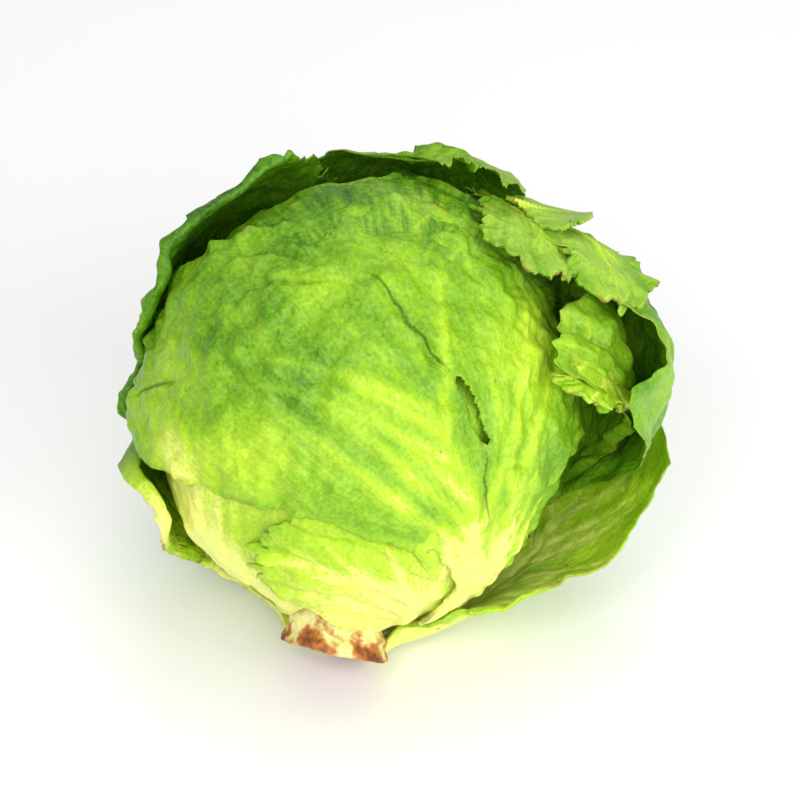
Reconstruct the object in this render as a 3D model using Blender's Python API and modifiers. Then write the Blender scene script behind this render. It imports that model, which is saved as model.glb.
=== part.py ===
"""A head of crisphead lettuce: a tight heart, wrapper leaves that clasp it and a cut stem.

The head is modelled upright about its own axis, with the stem at the bottom. It then leans back
and rests on the pressed-flat outer leaf behind the stem, as a cut head lies on a counter.
Units are metres, +Z is up, and the head faces -Y.
"""

import math
from typing import Callable, NamedTuple

import bpy
import numpy as np
from mathutils import Quaternion, Vector

# Driving dimensions.
HEART_SIDE = 0.059
HEART_DEPTH = 0.058
HEART_HEIGHT = 0.060
LEAF_THICKNESS = 0.0012
LAYER_STEP = 0.0023
OUTER_LAYER = 7
FLOOR_DROP = 0.0705
LEAN_BACK = math.radians(36.0)
TILT_RIGHT = math.radians(12.0)
STEM_RADIUS = 0.0133
STEM_WAIST = 0.0127
STEM_CUT_RADIUS = 0.0143
STEM_CUT_DEPTH = 0.0748
STEM_GAP = 0.0005
STEM_OFFSET = 0.0042
CUT_BEVEL = 0.0008
FACET_ANGLE = 10.5
CORNER_ROUNDING = 0.55
HEART_SEGMENTS = 28
HEART_RINGS = 16
STEM_STEPS = 28
SCREW_MERGE = 0.00001
LOW_CURL = 0.0065
HIGH_CURL = 0.006
HOOD_BULGE = 0.022
INNER_HOOD_SHARE = 0.6
CUP_OPENING = 0.021
CROWN_LIFT = 0.006
FRONT_LAYER = 3
TEAR_POLAR = 95.0
TEAR_AZIMUTH = 29.0
TEAR_ROLL = math.radians(35.0)
TEAR_LENGTH = 0.023
TEAR_WIDTH = 0.0042
TEAR_SIDES = 10
TEAR_CUT_DEPTH = 0.0092
OBJECT_NAME = "lettuce_head"

# Colours are linear RGB.
CREAM = (0.90, 0.93, 0.45)
FRESH_GREEN = (0.33, 0.55, 0.05)
LIME_GREEN = (0.60, 0.85, 0.08)
DEEP_GREEN = (0.09, 0.22, 0.015)
MID_GREEN = (0.16, 0.35, 0.02)
CUT_CREAM = (0.70, 0.60, 0.18)


class Leaf(NamedTuple):
    """One leaf: its outline in degrees on the head, its layer and how far it stands off.

    path is "around" where the stations run in azimuth and give polar angles, "up" where they
    run in polar angle and give azimuths, and "over" where they run along the back meridian,
    past the crown, and give sideways angles.
    """

    name: str
    path: str
    stations: tuple
    layer: int
    stand_off: Callable
    colour: tuple
    roughness: float


def smooth_step(value, start, end):
    """Rises from 0 at start to 1 at end."""
    share = np.clip((value - start) / (end - start), 0.0, 1.0)
    return share * share * (3.0 - 2.0 * share)


def swell(value, centre, reach):
    """A smooth hump: 1 at the centre and 0 beyond the reach."""
    share = np.clip((value - centre) / reach, -1.0, 1.0)
    return 0.5 + 0.5 * np.cos(math.pi * share)


def lies_close(polar, azimuth):
    """A leaf that hugs the layer under it."""
    return np.zeros_like(polar)


def left_stand_off(polar, azimuth):
    """The left wrapper's front edge curls away low down, and a little at the crown."""
    low_curl = LOW_CURL * smooth_step(azimuth, -96.0, -64.0) * swell(polar, 50.0, 32.0)
    high_curl = HIGH_CURL * smooth_step(azimuth, -120.0, -78.0) * smooth_step(polar, 80.0, 122.0)
    return low_curl + high_curl


def hood_stand_off(polar, azimuth):
    """The upper right wrapper bulges out and folds forward over the head."""
    return HOOD_BULGE * swell(azimuth, 80.0, 48.0) * swell(polar, 112.0, 52.0)


def inner_hood_stand_off(polar, azimuth):
    """The leaf under the hood follows its bulge part of the way."""
    return INNER_HOOD_SHARE * hood_stand_off(polar, azimuth)


def cup_stand_off(polar, azimuth):
    """The lower right wrapper opens from the head like a cup."""
    return CUP_OPENING * swell(azimuth, 86.0, 44.0) * swell(polar, 90.0, 58.0)


def crown_stand_off(polar, azimuth):
    """The back leaf lifts where its tip passes over the crown on the right."""
    to_the_right = smooth_step(np.cos(np.radians(azimuth - 80.0)), 0.2, 0.9)
    return CROWN_LIFT * smooth_step(polar, 136.0, 152.0) * to_the_right


LEAVES = (
    Leaf("left_inner_leaf", "up", ((13, -104, -8), (35, -118, 2), (60, -112, 6), (84, -98, -14)),
         1, lies_close, CREAM, 0.38),
    Leaf("basal_leaf", "up", ((18.5, -6, 84), (30, -38, 88), (44, -39, 74), (64, -24, 40)),
         2, lies_close, LIME_GREEN, 0.36),
    Leaf("front_leaf", "around",
         ((-100, 66, 108), (-54, 57, 130), (-8, 58, 152), (14, 57, 155), (40, 52, 154),
          (72, 27, 132), (91, 18, 96)),
         FRONT_LAYER, lies_close, FRESH_GREEN, 0.34),
    Leaf("crown_inner_leaf", "around",
         ((-78, 112, 150), (-40, 122, 168), (0, 128, 174), (40, 126, 172), (80, 118, 150)),
         2, lies_close, FRESH_GREEN, 0.38),
    Leaf("left_wrapper_leaf", "up",
         ((18, -152, -116), (32, -184, -102), (43, -190, -68), (58, -196, -60), (70, -197, -80),
          (84, -198, -88), (98, -198, -80), (120, -198, -84), (150, -190, -60), (165, -160, -30)),
         4, left_stand_off, MID_GREEN, 0.42),
    Leaf("upper_right_inner_leaf", "up",
         ((34, 104, 140), (60, 102, 140), (88, 92, 138), (98, 74, 136), (105, 60, 136),
          (112, 53, 134), (120, 54, 132), (130, 64, 124)),
         4, inner_hood_stand_off, LIME_GREEN, 0.38),
    Leaf("upper_right_wrapper_leaf", "up",
         ((20, 100, 156), (60, 100, 166), (80, 95, 166), (92, 78, 166), (104, 70, 164),
          (116, 64, 162), (128, 58, 160), (148, 42, 166), (163, 26, 160)),
         5, hood_stand_off, MID_GREEN, 0.42),
    Leaf("lower_right_wrapper_leaf", "up",
         ((19, 84, 146), (31, 74, 162), (48, 77, 170), (75, 85, 168), (91, 86, 160), (106, 104, 146)),
         6, cup_stand_off, MID_GREEN, 0.40),
    Leaf("back_wrapper_leaf", "over",
         ((18, -24, 8), (40, -38, 36), (80, -40, 52), (120, -36, 46), (150, -28, 30), (172, -27, 16),
          (184, -26, 10), (194, -25, -5)),
         OUTER_LAYER, crown_stand_off, DEEP_GREEN, 0.45),
)


def clear_scene():
    """Removes every object of the open scene."""
    for obj in list(bpy.data.objects):
        bpy.data.objects.remove(obj, do_unlink=True)


def new_collection(name):
    """A collection linked to the scene."""
    collection = bpy.data.collections.new(name)
    bpy.context.scene.collection.children.link(collection)
    return collection


def move_to_collection(obj, collection):
    """Leaves the object in this collection only."""
    for old in list(obj.users_collection):
        old.objects.unlink(obj)
    collection.objects.link(obj)


def make_material(name, colour, roughness):
    """A plain Principled material."""
    material = bpy.data.materials.new(name)
    material.use_nodes = True
    shader = material.node_tree.nodes["Principled BSDF"]
    shader.inputs["Base Color"].default_value = (*colour, 1.0)
    shader.inputs["Roughness"].default_value = roughness
    shader.inputs["Metallic"].default_value = 0.0
    return material


def direction(polar, azimuth):
    """Unit vectors from the head's centre, for a polar angle from the stem and an azimuth in degrees."""
    polar, azimuth = np.radians(polar), np.radians(azimuth)
    return np.stack(
        [np.sin(polar) * np.sin(azimuth), -np.sin(polar) * np.cos(azimuth), -np.cos(polar)], axis=-1
    )


def direction_over(along, sideways):
    """Unit vectors for a path up the back and past the crown, with an angle to the head's left."""
    side = np.radians(sideways)[..., None]
    left = np.array([-1.0, 0.0, 0.0])
    return np.cos(side) * direction(along, np.full_like(along, 180.0)) + np.sin(side) * left


def down_in_head():
    """The world's down, in the head's own axes."""
    lean, tilt = LEAN_BACK, TILT_RIGHT
    return np.array(
        [
            math.cos(lean) * math.sin(tilt),
            math.sin(lean),
            -math.cos(lean) * math.cos(tilt),
        ]
    )


def heart_radius(unit):
    """The heart's radius in each direction."""
    return 1.0 / np.sqrt(
        (unit[..., 0] / HEART_SIDE) ** 2
        + (unit[..., 1] / HEART_DEPTH) ** 2
        + (unit[..., 2] / HEART_HEIGHT) ** 2
    )


def layer_radius(unit, layer, stand_off):
    """The outer radius of a layer, pressed flat where the head rests."""
    round_radius = heart_radius(unit) + layer * LAYER_STEP + stand_off
    toward_floor = np.maximum(unit @ down_in_head(), 1e-3)
    flat_radius = (FLOOR_DROP - (OUTER_LAYER - layer) * LAYER_STEP) / toward_floor
    return np.minimum(round_radius, flat_radius)


def through_stations(value, stations):
    """The two sides of an outline at each value, eased between the stations."""
    places = np.array(stations, dtype=float)
    index = np.clip(np.searchsorted(places[:, 0], value) - 1, 0, len(places) - 2)
    before, after = places[index], places[index + 1]
    share = (value - before[..., 0]) / (after[..., 0] - before[..., 0])
    share = (0.5 * share + 0.5 * smooth_step(share, 0.0, 1.0))[..., None]
    sides = before[..., 1:] + share * (after[..., 1:] - before[..., 1:])
    return sides[..., 0], sides[..., 1]


def leaf_point(leaf, x, y):
    """The leaf's outer face at x across and y along, both from -1 to 1."""
    round_x = x * np.sqrt(1.0 - CORNER_ROUNDING * y * y / 2.0)
    round_y = y * np.sqrt(1.0 - CORNER_ROUNDING * x * x / 2.0)
    first, last = leaf.stations[0][0], leaf.stations[-1][0]
    run, cross = (round_x, round_y) if leaf.path == "around" else (round_y, round_x)
    place = first + (last - first) * (run + 1.0) / 2.0
    low, high = through_stations(place, leaf.stations)
    other = low + (high - low) * (cross + 1.0) / 2.0
    if leaf.path == "around":
        unit = direction(other, place)
    elif leaf.path == "up":
        unit = direction(place, other)
    else:
        unit = direction_over(place, other)
    polar = np.degrees(np.arccos(np.clip(-unit[..., 2], -1.0, 1.0)))
    azimuth = np.degrees(np.arctan2(unit[..., 0], -unit[..., 1]))
    if leaf.path == "up":
        azimuth = other
    radius = layer_radius(unit, leaf.layer, leaf.stand_off(polar, azimuth))
    return unit * radius[..., None]


def grid_counts(leaf):
    """How many facets the leaf's grid has across and along."""
    places = np.array(leaf.stations, dtype=float)
    run = math.ceil((places[-1, 0] - places[0, 0]) / FACET_ANGLE)
    cross = math.ceil((places[:, 2] - places[:, 1]).max() / FACET_ANGLE)
    return (run, cross) if leaf.path == "around" else (cross, run)


def shape_vertices(mesh, rule):
    """Moves each vertex by a rule on its coordinates."""
    points = np.empty(len(mesh.vertices) * 3)
    mesh.vertices.foreach_get("co", points)
    mesh.vertices.foreach_set("co", rule(points.reshape(-1, 3)).ravel())
    mesh.update()


def add_leaf(leaf, head, collection):
    """A leaf: a grid laid over the head by its outline, made solid inwards."""
    across, along = grid_counts(leaf)
    bpy.ops.mesh.primitive_grid_add(x_subdivisions=across, y_subdivisions=along, size=2.0)
    obj = bpy.context.active_object
    obj.name = leaf.name
    shape_vertices(obj.data, lambda points: leaf_point(leaf, points[:, 0], points[:, 1]))
    shell = obj.modifiers.new("shell", "SOLIDIFY")
    shell.thickness = LEAF_THICKNESS
    shell.offset = -1.0
    obj.data.materials.append(make_material(leaf.name, leaf.colour, leaf.roughness))
    obj.parent = head
    move_to_collection(obj, collection)


def tear_front_leaf(head, collection, cutters):
    """Cuts the open tear beside the front leaf's midrib: a lens-shaped slot right through it."""
    front = collection.objects["front_leaf"]
    outward = Vector(direction(TEAR_POLAR, TEAR_AZIMUTH))
    bpy.ops.mesh.primitive_cylinder_add(vertices=TEAR_SIDES, radius=0.5, depth=TEAR_CUT_DEPTH)
    cutter = bpy.context.active_object
    cutter.name = "front_leaf_tear"
    cutter.scale = (TEAR_WIDTH, TEAR_LENGTH, 1.0)
    turn = outward.to_track_quat("Z", "Y") @ Quaternion((0.0, 0.0, 1.0), TEAR_ROLL)
    cutter.rotation_euler = turn.to_euler()
    cutter.location = outward * (HEART_DEPTH + FRONT_LAYER * LAYER_STEP)
    cutter.parent = head
    cutter.hide_render = True
    cutter.display_type = "WIRE"
    move_to_collection(cutter, cutters)
    cut = front.modifiers.new("tear", "BOOLEAN")
    cut.operation = "DIFFERENCE"
    cut.solver = "EXACT"
    cut.object = cutter


def add_heart(head, collection):
    """The tight heart inside the wrapper leaves."""
    bpy.ops.mesh.primitive_uv_sphere_add(segments=HEART_SEGMENTS, ring_count=HEART_RINGS, radius=1.0)
    obj = bpy.context.active_object
    obj.name = "heart"

    def on_heart(points):
        unit = points / np.linalg.norm(points, axis=1, keepdims=True)
        return unit * layer_radius(unit, 0, 0.0)[:, None]

    shape_vertices(obj.data, on_heart)
    obj.data.materials.append(make_material("heart", FRESH_GREEN, 0.38))
    obj.parent = head
    move_to_collection(obj, collection)


def add_stem(head, collection):
    """The cut stem: a short turned stump, a little wider at the cut."""
    top = -HEART_HEIGHT - STEM_GAP
    cut = -STEM_CUT_DEPTH
    waist = 0.5 * (top + cut)
    profile = (
        (0.0, top),
        (STEM_RADIUS, top),
        (STEM_WAIST, waist),
        (STEM_CUT_RADIUS, cut + 2.0 * CUT_BEVEL),
        (STEM_CUT_RADIUS - CUT_BEVEL, cut),
        (0.0, cut),
    )
    mesh = bpy.data.meshes.new("stem")
    edges = [(i, i + 1) for i in range(len(profile) - 1)]
    mesh.from_pydata([(radius, 0.0, height) for radius, height in profile], edges, [])
    obj = bpy.data.objects.new("stem", mesh)
    collection.objects.link(obj)
    turn = obj.modifiers.new("turn", "SCREW")
    turn.steps = STEM_STEPS
    turn.render_steps = STEM_STEPS
    turn.use_merge_vertices = True
    turn.merge_threshold = SCREW_MERGE
    mesh.materials.append(make_material("stem", CUT_CREAM, 0.60))
    obj.location.x = STEM_OFFSET
    obj.parent = head


def add_head_empty(collection):
    """The empty that carries the head's axis and lean."""
    head = bpy.data.objects.new("head_axis", None)
    head.rotation_mode = "ZYX"
    head.rotation_euler = (-LEAN_BACK, TILT_RIGHT, 0.0)
    head.location = (0.0, 0.0, FLOOR_DROP)
    collection.objects.link(head)
    return head


def centre_on_origin(head, collection):
    """Puts the origin under the middle of the whole object."""
    bpy.context.view_layer.update()
    graph = bpy.context.evaluated_depsgraph_get()
    corners = []
    for obj in collection.objects:
        if obj.type != "MESH":
            continue
        solid = obj.evaluated_get(graph)
        corners += [solid.matrix_world @ vertex.co for vertex in solid.data.vertices]
    for axis in (0, 1):
        values = [corner[axis] for corner in corners]
        head.location[axis] -= 0.5 * (min(values) + max(values))


def main():
    clear_scene()
    collection = new_collection(OBJECT_NAME)
    head = add_head_empty(collection)
    add_heart(head, collection)
    add_stem(head, collection)
    for leaf in LEAVES:
        add_leaf(leaf, head, collection)
    tear_front_leaf(head, collection, new_collection("cutters"))
    centre_on_origin(head, collection)


main()
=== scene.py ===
"""The looks of a head of crisphead lettuce: crinkled, ribbed leaves and a cut stem around the CAD frame."""

import logging
import math
from dataclasses import dataclass, field
from enum import Enum
from typing import NamedTuple

import bpy
import numpy as np
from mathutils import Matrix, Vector


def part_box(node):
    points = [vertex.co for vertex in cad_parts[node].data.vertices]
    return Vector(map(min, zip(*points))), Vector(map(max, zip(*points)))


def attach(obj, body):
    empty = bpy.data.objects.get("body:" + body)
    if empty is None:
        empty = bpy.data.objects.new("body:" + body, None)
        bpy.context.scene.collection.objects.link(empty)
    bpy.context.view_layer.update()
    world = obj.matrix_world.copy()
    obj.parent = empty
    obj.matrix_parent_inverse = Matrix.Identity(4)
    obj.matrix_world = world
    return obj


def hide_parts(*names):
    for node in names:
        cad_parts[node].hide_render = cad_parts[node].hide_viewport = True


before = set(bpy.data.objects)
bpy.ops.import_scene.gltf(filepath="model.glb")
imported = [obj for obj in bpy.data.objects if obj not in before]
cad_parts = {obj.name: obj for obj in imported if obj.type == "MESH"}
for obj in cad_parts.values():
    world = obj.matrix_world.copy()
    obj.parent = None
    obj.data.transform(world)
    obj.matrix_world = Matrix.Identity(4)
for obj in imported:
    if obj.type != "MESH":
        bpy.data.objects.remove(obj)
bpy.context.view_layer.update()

BODY = "root"
LOG = logging.getLogger("lettuce")

Colour = tuple[float, float, float]
Angles = tuple[float, float]
Stops = list[tuple[float, Colour]]


# Small rules that the pieces share


def ease(value: np.ndarray, start: float, end: float) -> np.ndarray:
    """Rises smoothly from 0 at start to 1 at end.

    Args:
        value: The numbers to ease.
        start: Where the rise begins.
        end: Where the rise is complete.

    Returns:
        A share from 0 to 1 for each number.
    """
    share = np.clip((value - start) / (end - start), 0.0, 1.0)
    return share * share * (3.0 - 2.0 * share)


def hump(value: np.ndarray, centre: float, reach: float) -> np.ndarray:
    """Is 1 at the centre and falls smoothly to 0 at the reach on both sides.

    Args:
        value: The numbers to weigh.
        centre: Where the hump peaks.
        reach: How far the hump spreads to each side.

    Returns:
        A share from 0 to 1 for each number.
    """
    share = np.clip((value - centre) / reach, -1.0, 1.0)
    return 0.5 + 0.5 * np.cos(math.pi * share)


def direction(polar: np.ndarray | float, azimuth: np.ndarray | float) -> np.ndarray:
    """Turns head angles into unit vectors in the head's own axes.

    Args:
        polar: Degrees from the stem.
        azimuth: Degrees from the front, towards the head's right.

    Returns:
        Unit vectors, in the last axis of the array.
    """
    polar, azimuth = np.radians(polar), np.radians(azimuth)
    level = np.sin(polar)
    return np.stack([level * np.sin(azimuth), -level * np.cos(azimuth), -np.cos(polar)], axis=-1)


def mesh_object(
    name: str, points: np.ndarray, faces: list, numbers: dict[str, np.ndarray]
) -> bpy.types.Object:
    """Makes an object in the scene.

    Args:
        name: The name of the object and its mesh.
        points: World places.
        faces: The places of each face, by number.
        numbers: A number or a vector for each point, by attribute name.

    Returns:
        The object.
    """
    mesh = bpy.data.meshes.new(name)
    mesh.from_pydata(points, [], faces)
    for key, values in numbers.items():
        kind, part = ("FLOAT", "value") if values.ndim == 1 else ("FLOAT_VECTOR", "vector")
        layer = mesh.attributes.new(key, kind, "POINT")
        layer.data.foreach_set(part, values.astype(np.float32).ravel())
    mesh.update()
    made = bpy.data.objects.new(name, mesh)
    bpy.context.scene.collection.objects.link(made)
    return made


def dress(solid: bpy.types.Object, material: bpy.types.Material) -> None:
    """Shades a solid smoothly and gives it its material.

    Args:
        solid: The object.
        material: Its material.
    """
    faces = solid.data.polygons
    faces.foreach_set("use_smooth", np.ones(len(faces), dtype=bool))
    solid.data.materials.append(material)


def ring_faces(
    rings: int, around: int, first: int, poles: tuple[int, int], turned: bool = False
) -> list[tuple[int, ...]]:
    """Lists the faces of a closed solid made of rings, with a fan at each end.

    Args:
        rings: How many rings there are.
        around: How many points a ring has.
        first: The number of the first ring's first point.
        poles: The numbers of the two end points.
        turned: Whether the rings run the other way, so that the faces have to turn too.

    Returns:
        The point numbers of each face.
    """
    last = first + (rings - 1) * around
    faces: list[tuple[int, ...]] = []
    for column in range(around):
        after = (column + 1) % around
        faces.append((poles[0], first + after, first + column))
        faces.append((poles[1], last + column, last + after))
        for low in range(first, last, around):
            high = low + around
            faces.append((low + column, low + after, high + after, high + column))
    return [(face[0], *face[:0:-1]) for face in faces] if turned else faces


def stand_for(piece: bpy.types.Object, node: str) -> None:
    """Puts a finished piece in place of its CAD node and reports it.

    Args:
        piece: The finished piece.
        node: The CAD node that it stands for.
    """
    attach(piece, BODY)
    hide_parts(node)
    LOG.info("%s: %d faces", piece.name, len(piece.data.polygons))


def angle_from(unit: np.ndarray, centre: np.ndarray) -> np.ndarray:
    """Gives the angle in radians between each direction and a centre."""
    return np.arccos(np.clip(unit @ centre, -1.0, 1.0))


def tangent_toward(start: np.ndarray, goal: np.ndarray) -> np.ndarray:
    """Gives the heading on the unit sphere from one direction towards another.

    Args:
        start: The unit vector to leave from.
        goal: The unit vector to head for.

    Returns:
        A unit vector at right angles to start.
    """
    along = goal - start * float(goal @ start)
    return along / np.linalg.norm(along)


class SmoothNoise:
    """Seeded noise with smooth slopes, from random values on a cubic lattice."""

    CELLS = 32
    OCTAVE_SHIFT = 7.3

    def __init__(self, seed: int) -> None:
        """Draws the lattice for one seed."""
        self.lattice = np.random.default_rng(seed).uniform(-1.0, 1.0, (self.CELLS,) * 3)

    def _layer(self, points: np.ndarray) -> np.ndarray:
        """Reads one octave of the noise at the points.

        Args:
            points: Coordinates, three in the last axis.

        Returns:
            Numbers of -1 to 1.
        """
        cell = np.floor(points).astype(int)
        part = points - cell
        part = part * part * part * (part * (part * 6.0 - 15.0) + 10.0)
        total = np.zeros(points.shape[:-1])
        for corner in np.ndindex(2, 2, 2):
            index = (cell + np.array(corner)) % self.CELLS
            share = np.prod(np.where(np.array(corner) == 1, part, 1.0 - part), axis=-1)
            total += share * self.lattice[index[..., 0], index[..., 1], index[..., 2]]
        return total

    def at(self, points: np.ndarray, octaves: int = 1) -> np.ndarray:
        """Adds up octaves of the noise.

        Args:
            points: Coordinates, three in the last axis, one unit for each bump.
            octaves: How many layers, each half the size and strength of the last.

        Returns:
            Numbers of about -1 to 1.
        """
        total = np.zeros(points.shape[:-1])
        for octave in range(octaves):
            total += 0.5**octave * self._layer(points * 2.0**octave + self.OCTAVE_SHIFT * octave)
        return total


# The head: its place, its axes and the layers that the leaves lie in


@dataclass
class Head:
    """The ball that every leaf is laid over, leaning back and pressed flat where it rests."""

    side: float = 0.059
    depth: float = 0.058
    height: float = 0.060
    layer_step: float = 0.0023
    outer_layer: int = 7
    floor_drop: float = 0.0705
    lean_back: float = math.radians(36.0)
    tilt_right: float = math.radians(12.0)
    stem_offset: float = 0.0042
    flare_height: float = 0.0034
    flare_start: float = 0.0125
    flare_end: float = 0.0205
    flare_power: float = 1.5
    swell_height: float = 0.0013
    swell_scale: float = 2.3
    fine_swell_scale: float = 5.1
    fine_swell_share: float = 0.45
    press_blend: float = 0.0025
    noise: SmoothNoise = field(default_factory=lambda: SmoothNoise(11))

    @property
    def centre(self) -> np.ndarray:
        """The head's centre, over the middle of the CAD heart."""
        low, high = (np.array(corner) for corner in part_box("heart"))
        middle = 0.5 * (low + high)
        return np.array([middle[0], middle[1], self.floor_drop])

    @property
    def axes(self) -> np.ndarray:
        """The head's own axes as the columns of a matrix."""
        lean, tilt = -self.lean_back, self.tilt_right
        about_x = np.array(
            [[1.0, 0.0, 0.0], [0.0, math.cos(lean), -math.sin(lean)], [0.0, math.sin(lean), math.cos(lean)]]
        )
        about_y = np.array(
            [[math.cos(tilt), 0.0, math.sin(tilt)], [0.0, 1.0, 0.0], [-math.sin(tilt), 0.0, math.cos(tilt)]]
        )
        return about_x @ about_y

    @property
    def down(self) -> np.ndarray:
        """The world's down, in the head's own axes."""
        return self.axes.T @ np.array([0.0, 0.0, -1.0])

    def to_world(self, points: np.ndarray) -> np.ndarray:
        """Places points of the head's own axes in the world."""
        return points @ self.axes.T + self.centre

    def swell(self, unit: np.ndarray) -> np.ndarray:
        """Gives the broad bumps that all layers share, so that pressed leaves follow each other.

        Args:
            unit: Directions from the head's centre.

        Returns:
            How far each direction is raised, in metres.
        """
        broad = self.noise.at(unit * self.swell_scale + 3.0)
        fine = self.noise.at(unit * self.fine_swell_scale + 9.0)
        return self.swell_height * (broad + self.fine_swell_share * fine)

    def radius(self, unit: np.ndarray, layer: float, stand_off: np.ndarray | float) -> np.ndarray:
        """Gives the outer radius of a layer.

        Args:
            unit: Directions from the head's centre.
            layer: The layer's number, counted from the heart.
            stand_off: How far the leaf stands off its layer, in metres.

        Returns:
            The radius for each direction, flat where the head is pressed on the surface.
        """
        scaled = unit / np.array([self.side, self.depth, self.height])
        from_stem = np.hypot(unit[..., 0] * self.height - self.stem_offset, unit[..., 1] * self.height)
        flare = 1.0 - ease(from_stem, self.flare_start, self.flare_end)
        flare = self.flare_height * flare**self.flare_power * (unit[..., 2] < 0.0)
        free = 1.0 / np.linalg.norm(scaled, axis=-1) + layer * self.layer_step + stand_off + flare
        toward_floor = np.maximum(unit @ self.down, 1e-3)
        pressed = (self.floor_drop - (self.outer_layer - layer) * self.layer_step) / toward_floor
        near = np.maximum(self.press_blend - np.abs(free - pressed), 0.0) / self.press_blend
        return np.minimum(free, pressed) - near * near * self.press_blend / 4.0


# Node graphs


class Field:
    """A node socket that takes part in arithmetic; each operator adds a Math node."""

    def __init__(self, graph: "Graph", socket: bpy.types.NodeSocket) -> None:
        """Wraps one output socket."""
        self.graph = graph
        self.socket = socket

    def _math(self, operation: str, *terms: "Field | float") -> "Field":
        """Adds a Math node on the terms and wraps its output."""
        node = self.graph.add("ShaderNodeMath", {"operation": operation}, dict(enumerate(terms)))
        return Field(self.graph, node.outputs[0])

    def __add__(self, other: "Field | float") -> "Field":
        """Adds a socket or a number."""
        return self._math("ADD", self, other)

    def __radd__(self, other: float) -> "Field":
        """Adds this socket to a number."""
        return self._math("ADD", other, self)

    def __sub__(self, other: "Field | float") -> "Field":
        """Subtracts a socket or a number."""
        return self._math("SUBTRACT", self, other)

    def __rsub__(self, other: float) -> "Field":
        """Subtracts this socket from a number."""
        return self._math("SUBTRACT", other, self)

    def __mul__(self, other: "Field | float") -> "Field":
        """Multiplies by a socket or a number."""
        return self._math("MULTIPLY", self, other)

    def __rmul__(self, other: float) -> "Field":
        """Multiplies a number by this socket."""
        return self._math("MULTIPLY", other, self)

    def absolute(self) -> "Field":
        """Drops the sign."""
        return self._math("ABSOLUTE", self)

    def clamped(self) -> "Field":
        """Keeps the value between 0 and 1."""
        return self._math("MINIMUM", self._math("MAXIMUM", self, 0.0), 1.0)

    def eased(self, start: float, end: float) -> "Field":
        """Rises smoothly from 0 at start to 1 at end.

        Args:
            start: Where the rise begins.
            end: Where the rise is complete.

        Returns:
            The eased share.
        """
        node = self.graph.add(
            "ShaderNodeMapRange",
            {"interpolation_type": "SMOOTHSTEP"},
            {"Value": self, "From Min": start, "From Max": end},
        )
        return Field(self.graph, node.outputs["Result"])


class Graph:
    """Builds the nodes of one tree."""

    def __init__(self, tree: bpy.types.NodeTree) -> None:
        """Keeps the tree that nodes are added to."""
        self.tree = tree

    def add(self, kind: str, settings: dict | None = None, values: dict | None = None) -> bpy.types.Node:
        """Adds a node, sets it up and then fills its sockets.

        Args:
            kind: The node's type.
            settings: Properties by name; "stops" is a list of (place, colour) for a colour ramp.
            values: A number, colour, Field or socket for each input, by name or place.

        Returns:
            The new node.
        """
        node = self.tree.nodes.new(kind)
        for name, value in (settings or {}).items():
            if name == "stops":
                self._set_stops(node.color_ramp, value)
            else:
                setattr(node, name, value)
        for key, value in (values or {}).items():
            self.put(node.inputs[key], value)
        return node

    def put(self, socket: bpy.types.NodeSocket, value: object) -> None:
        """Links or sets one input.

        Args:
            socket: The input socket.
            value: A Field, an output socket, a number or a vector.
        """
        if isinstance(value, Field):
            value = value.socket
        if isinstance(value, bpy.types.NodeSocket):
            self.tree.links.new(value, socket)
        else:
            socket.default_value = value

    @staticmethod
    def _set_stops(ramp: bpy.types.ColorRamp, stops: Stops) -> None:
        """Gives a colour ramp its stops.

        Args:
            ramp: The ramp.
            stops: The place and colour of each stop.
        """
        while len(ramp.elements) < len(stops):
            ramp.elements.new(0.5)
        for element, (place, colour) in zip(ramp.elements, stops):
            element.position = place
            element.color = (*colour, 1.0)


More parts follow.
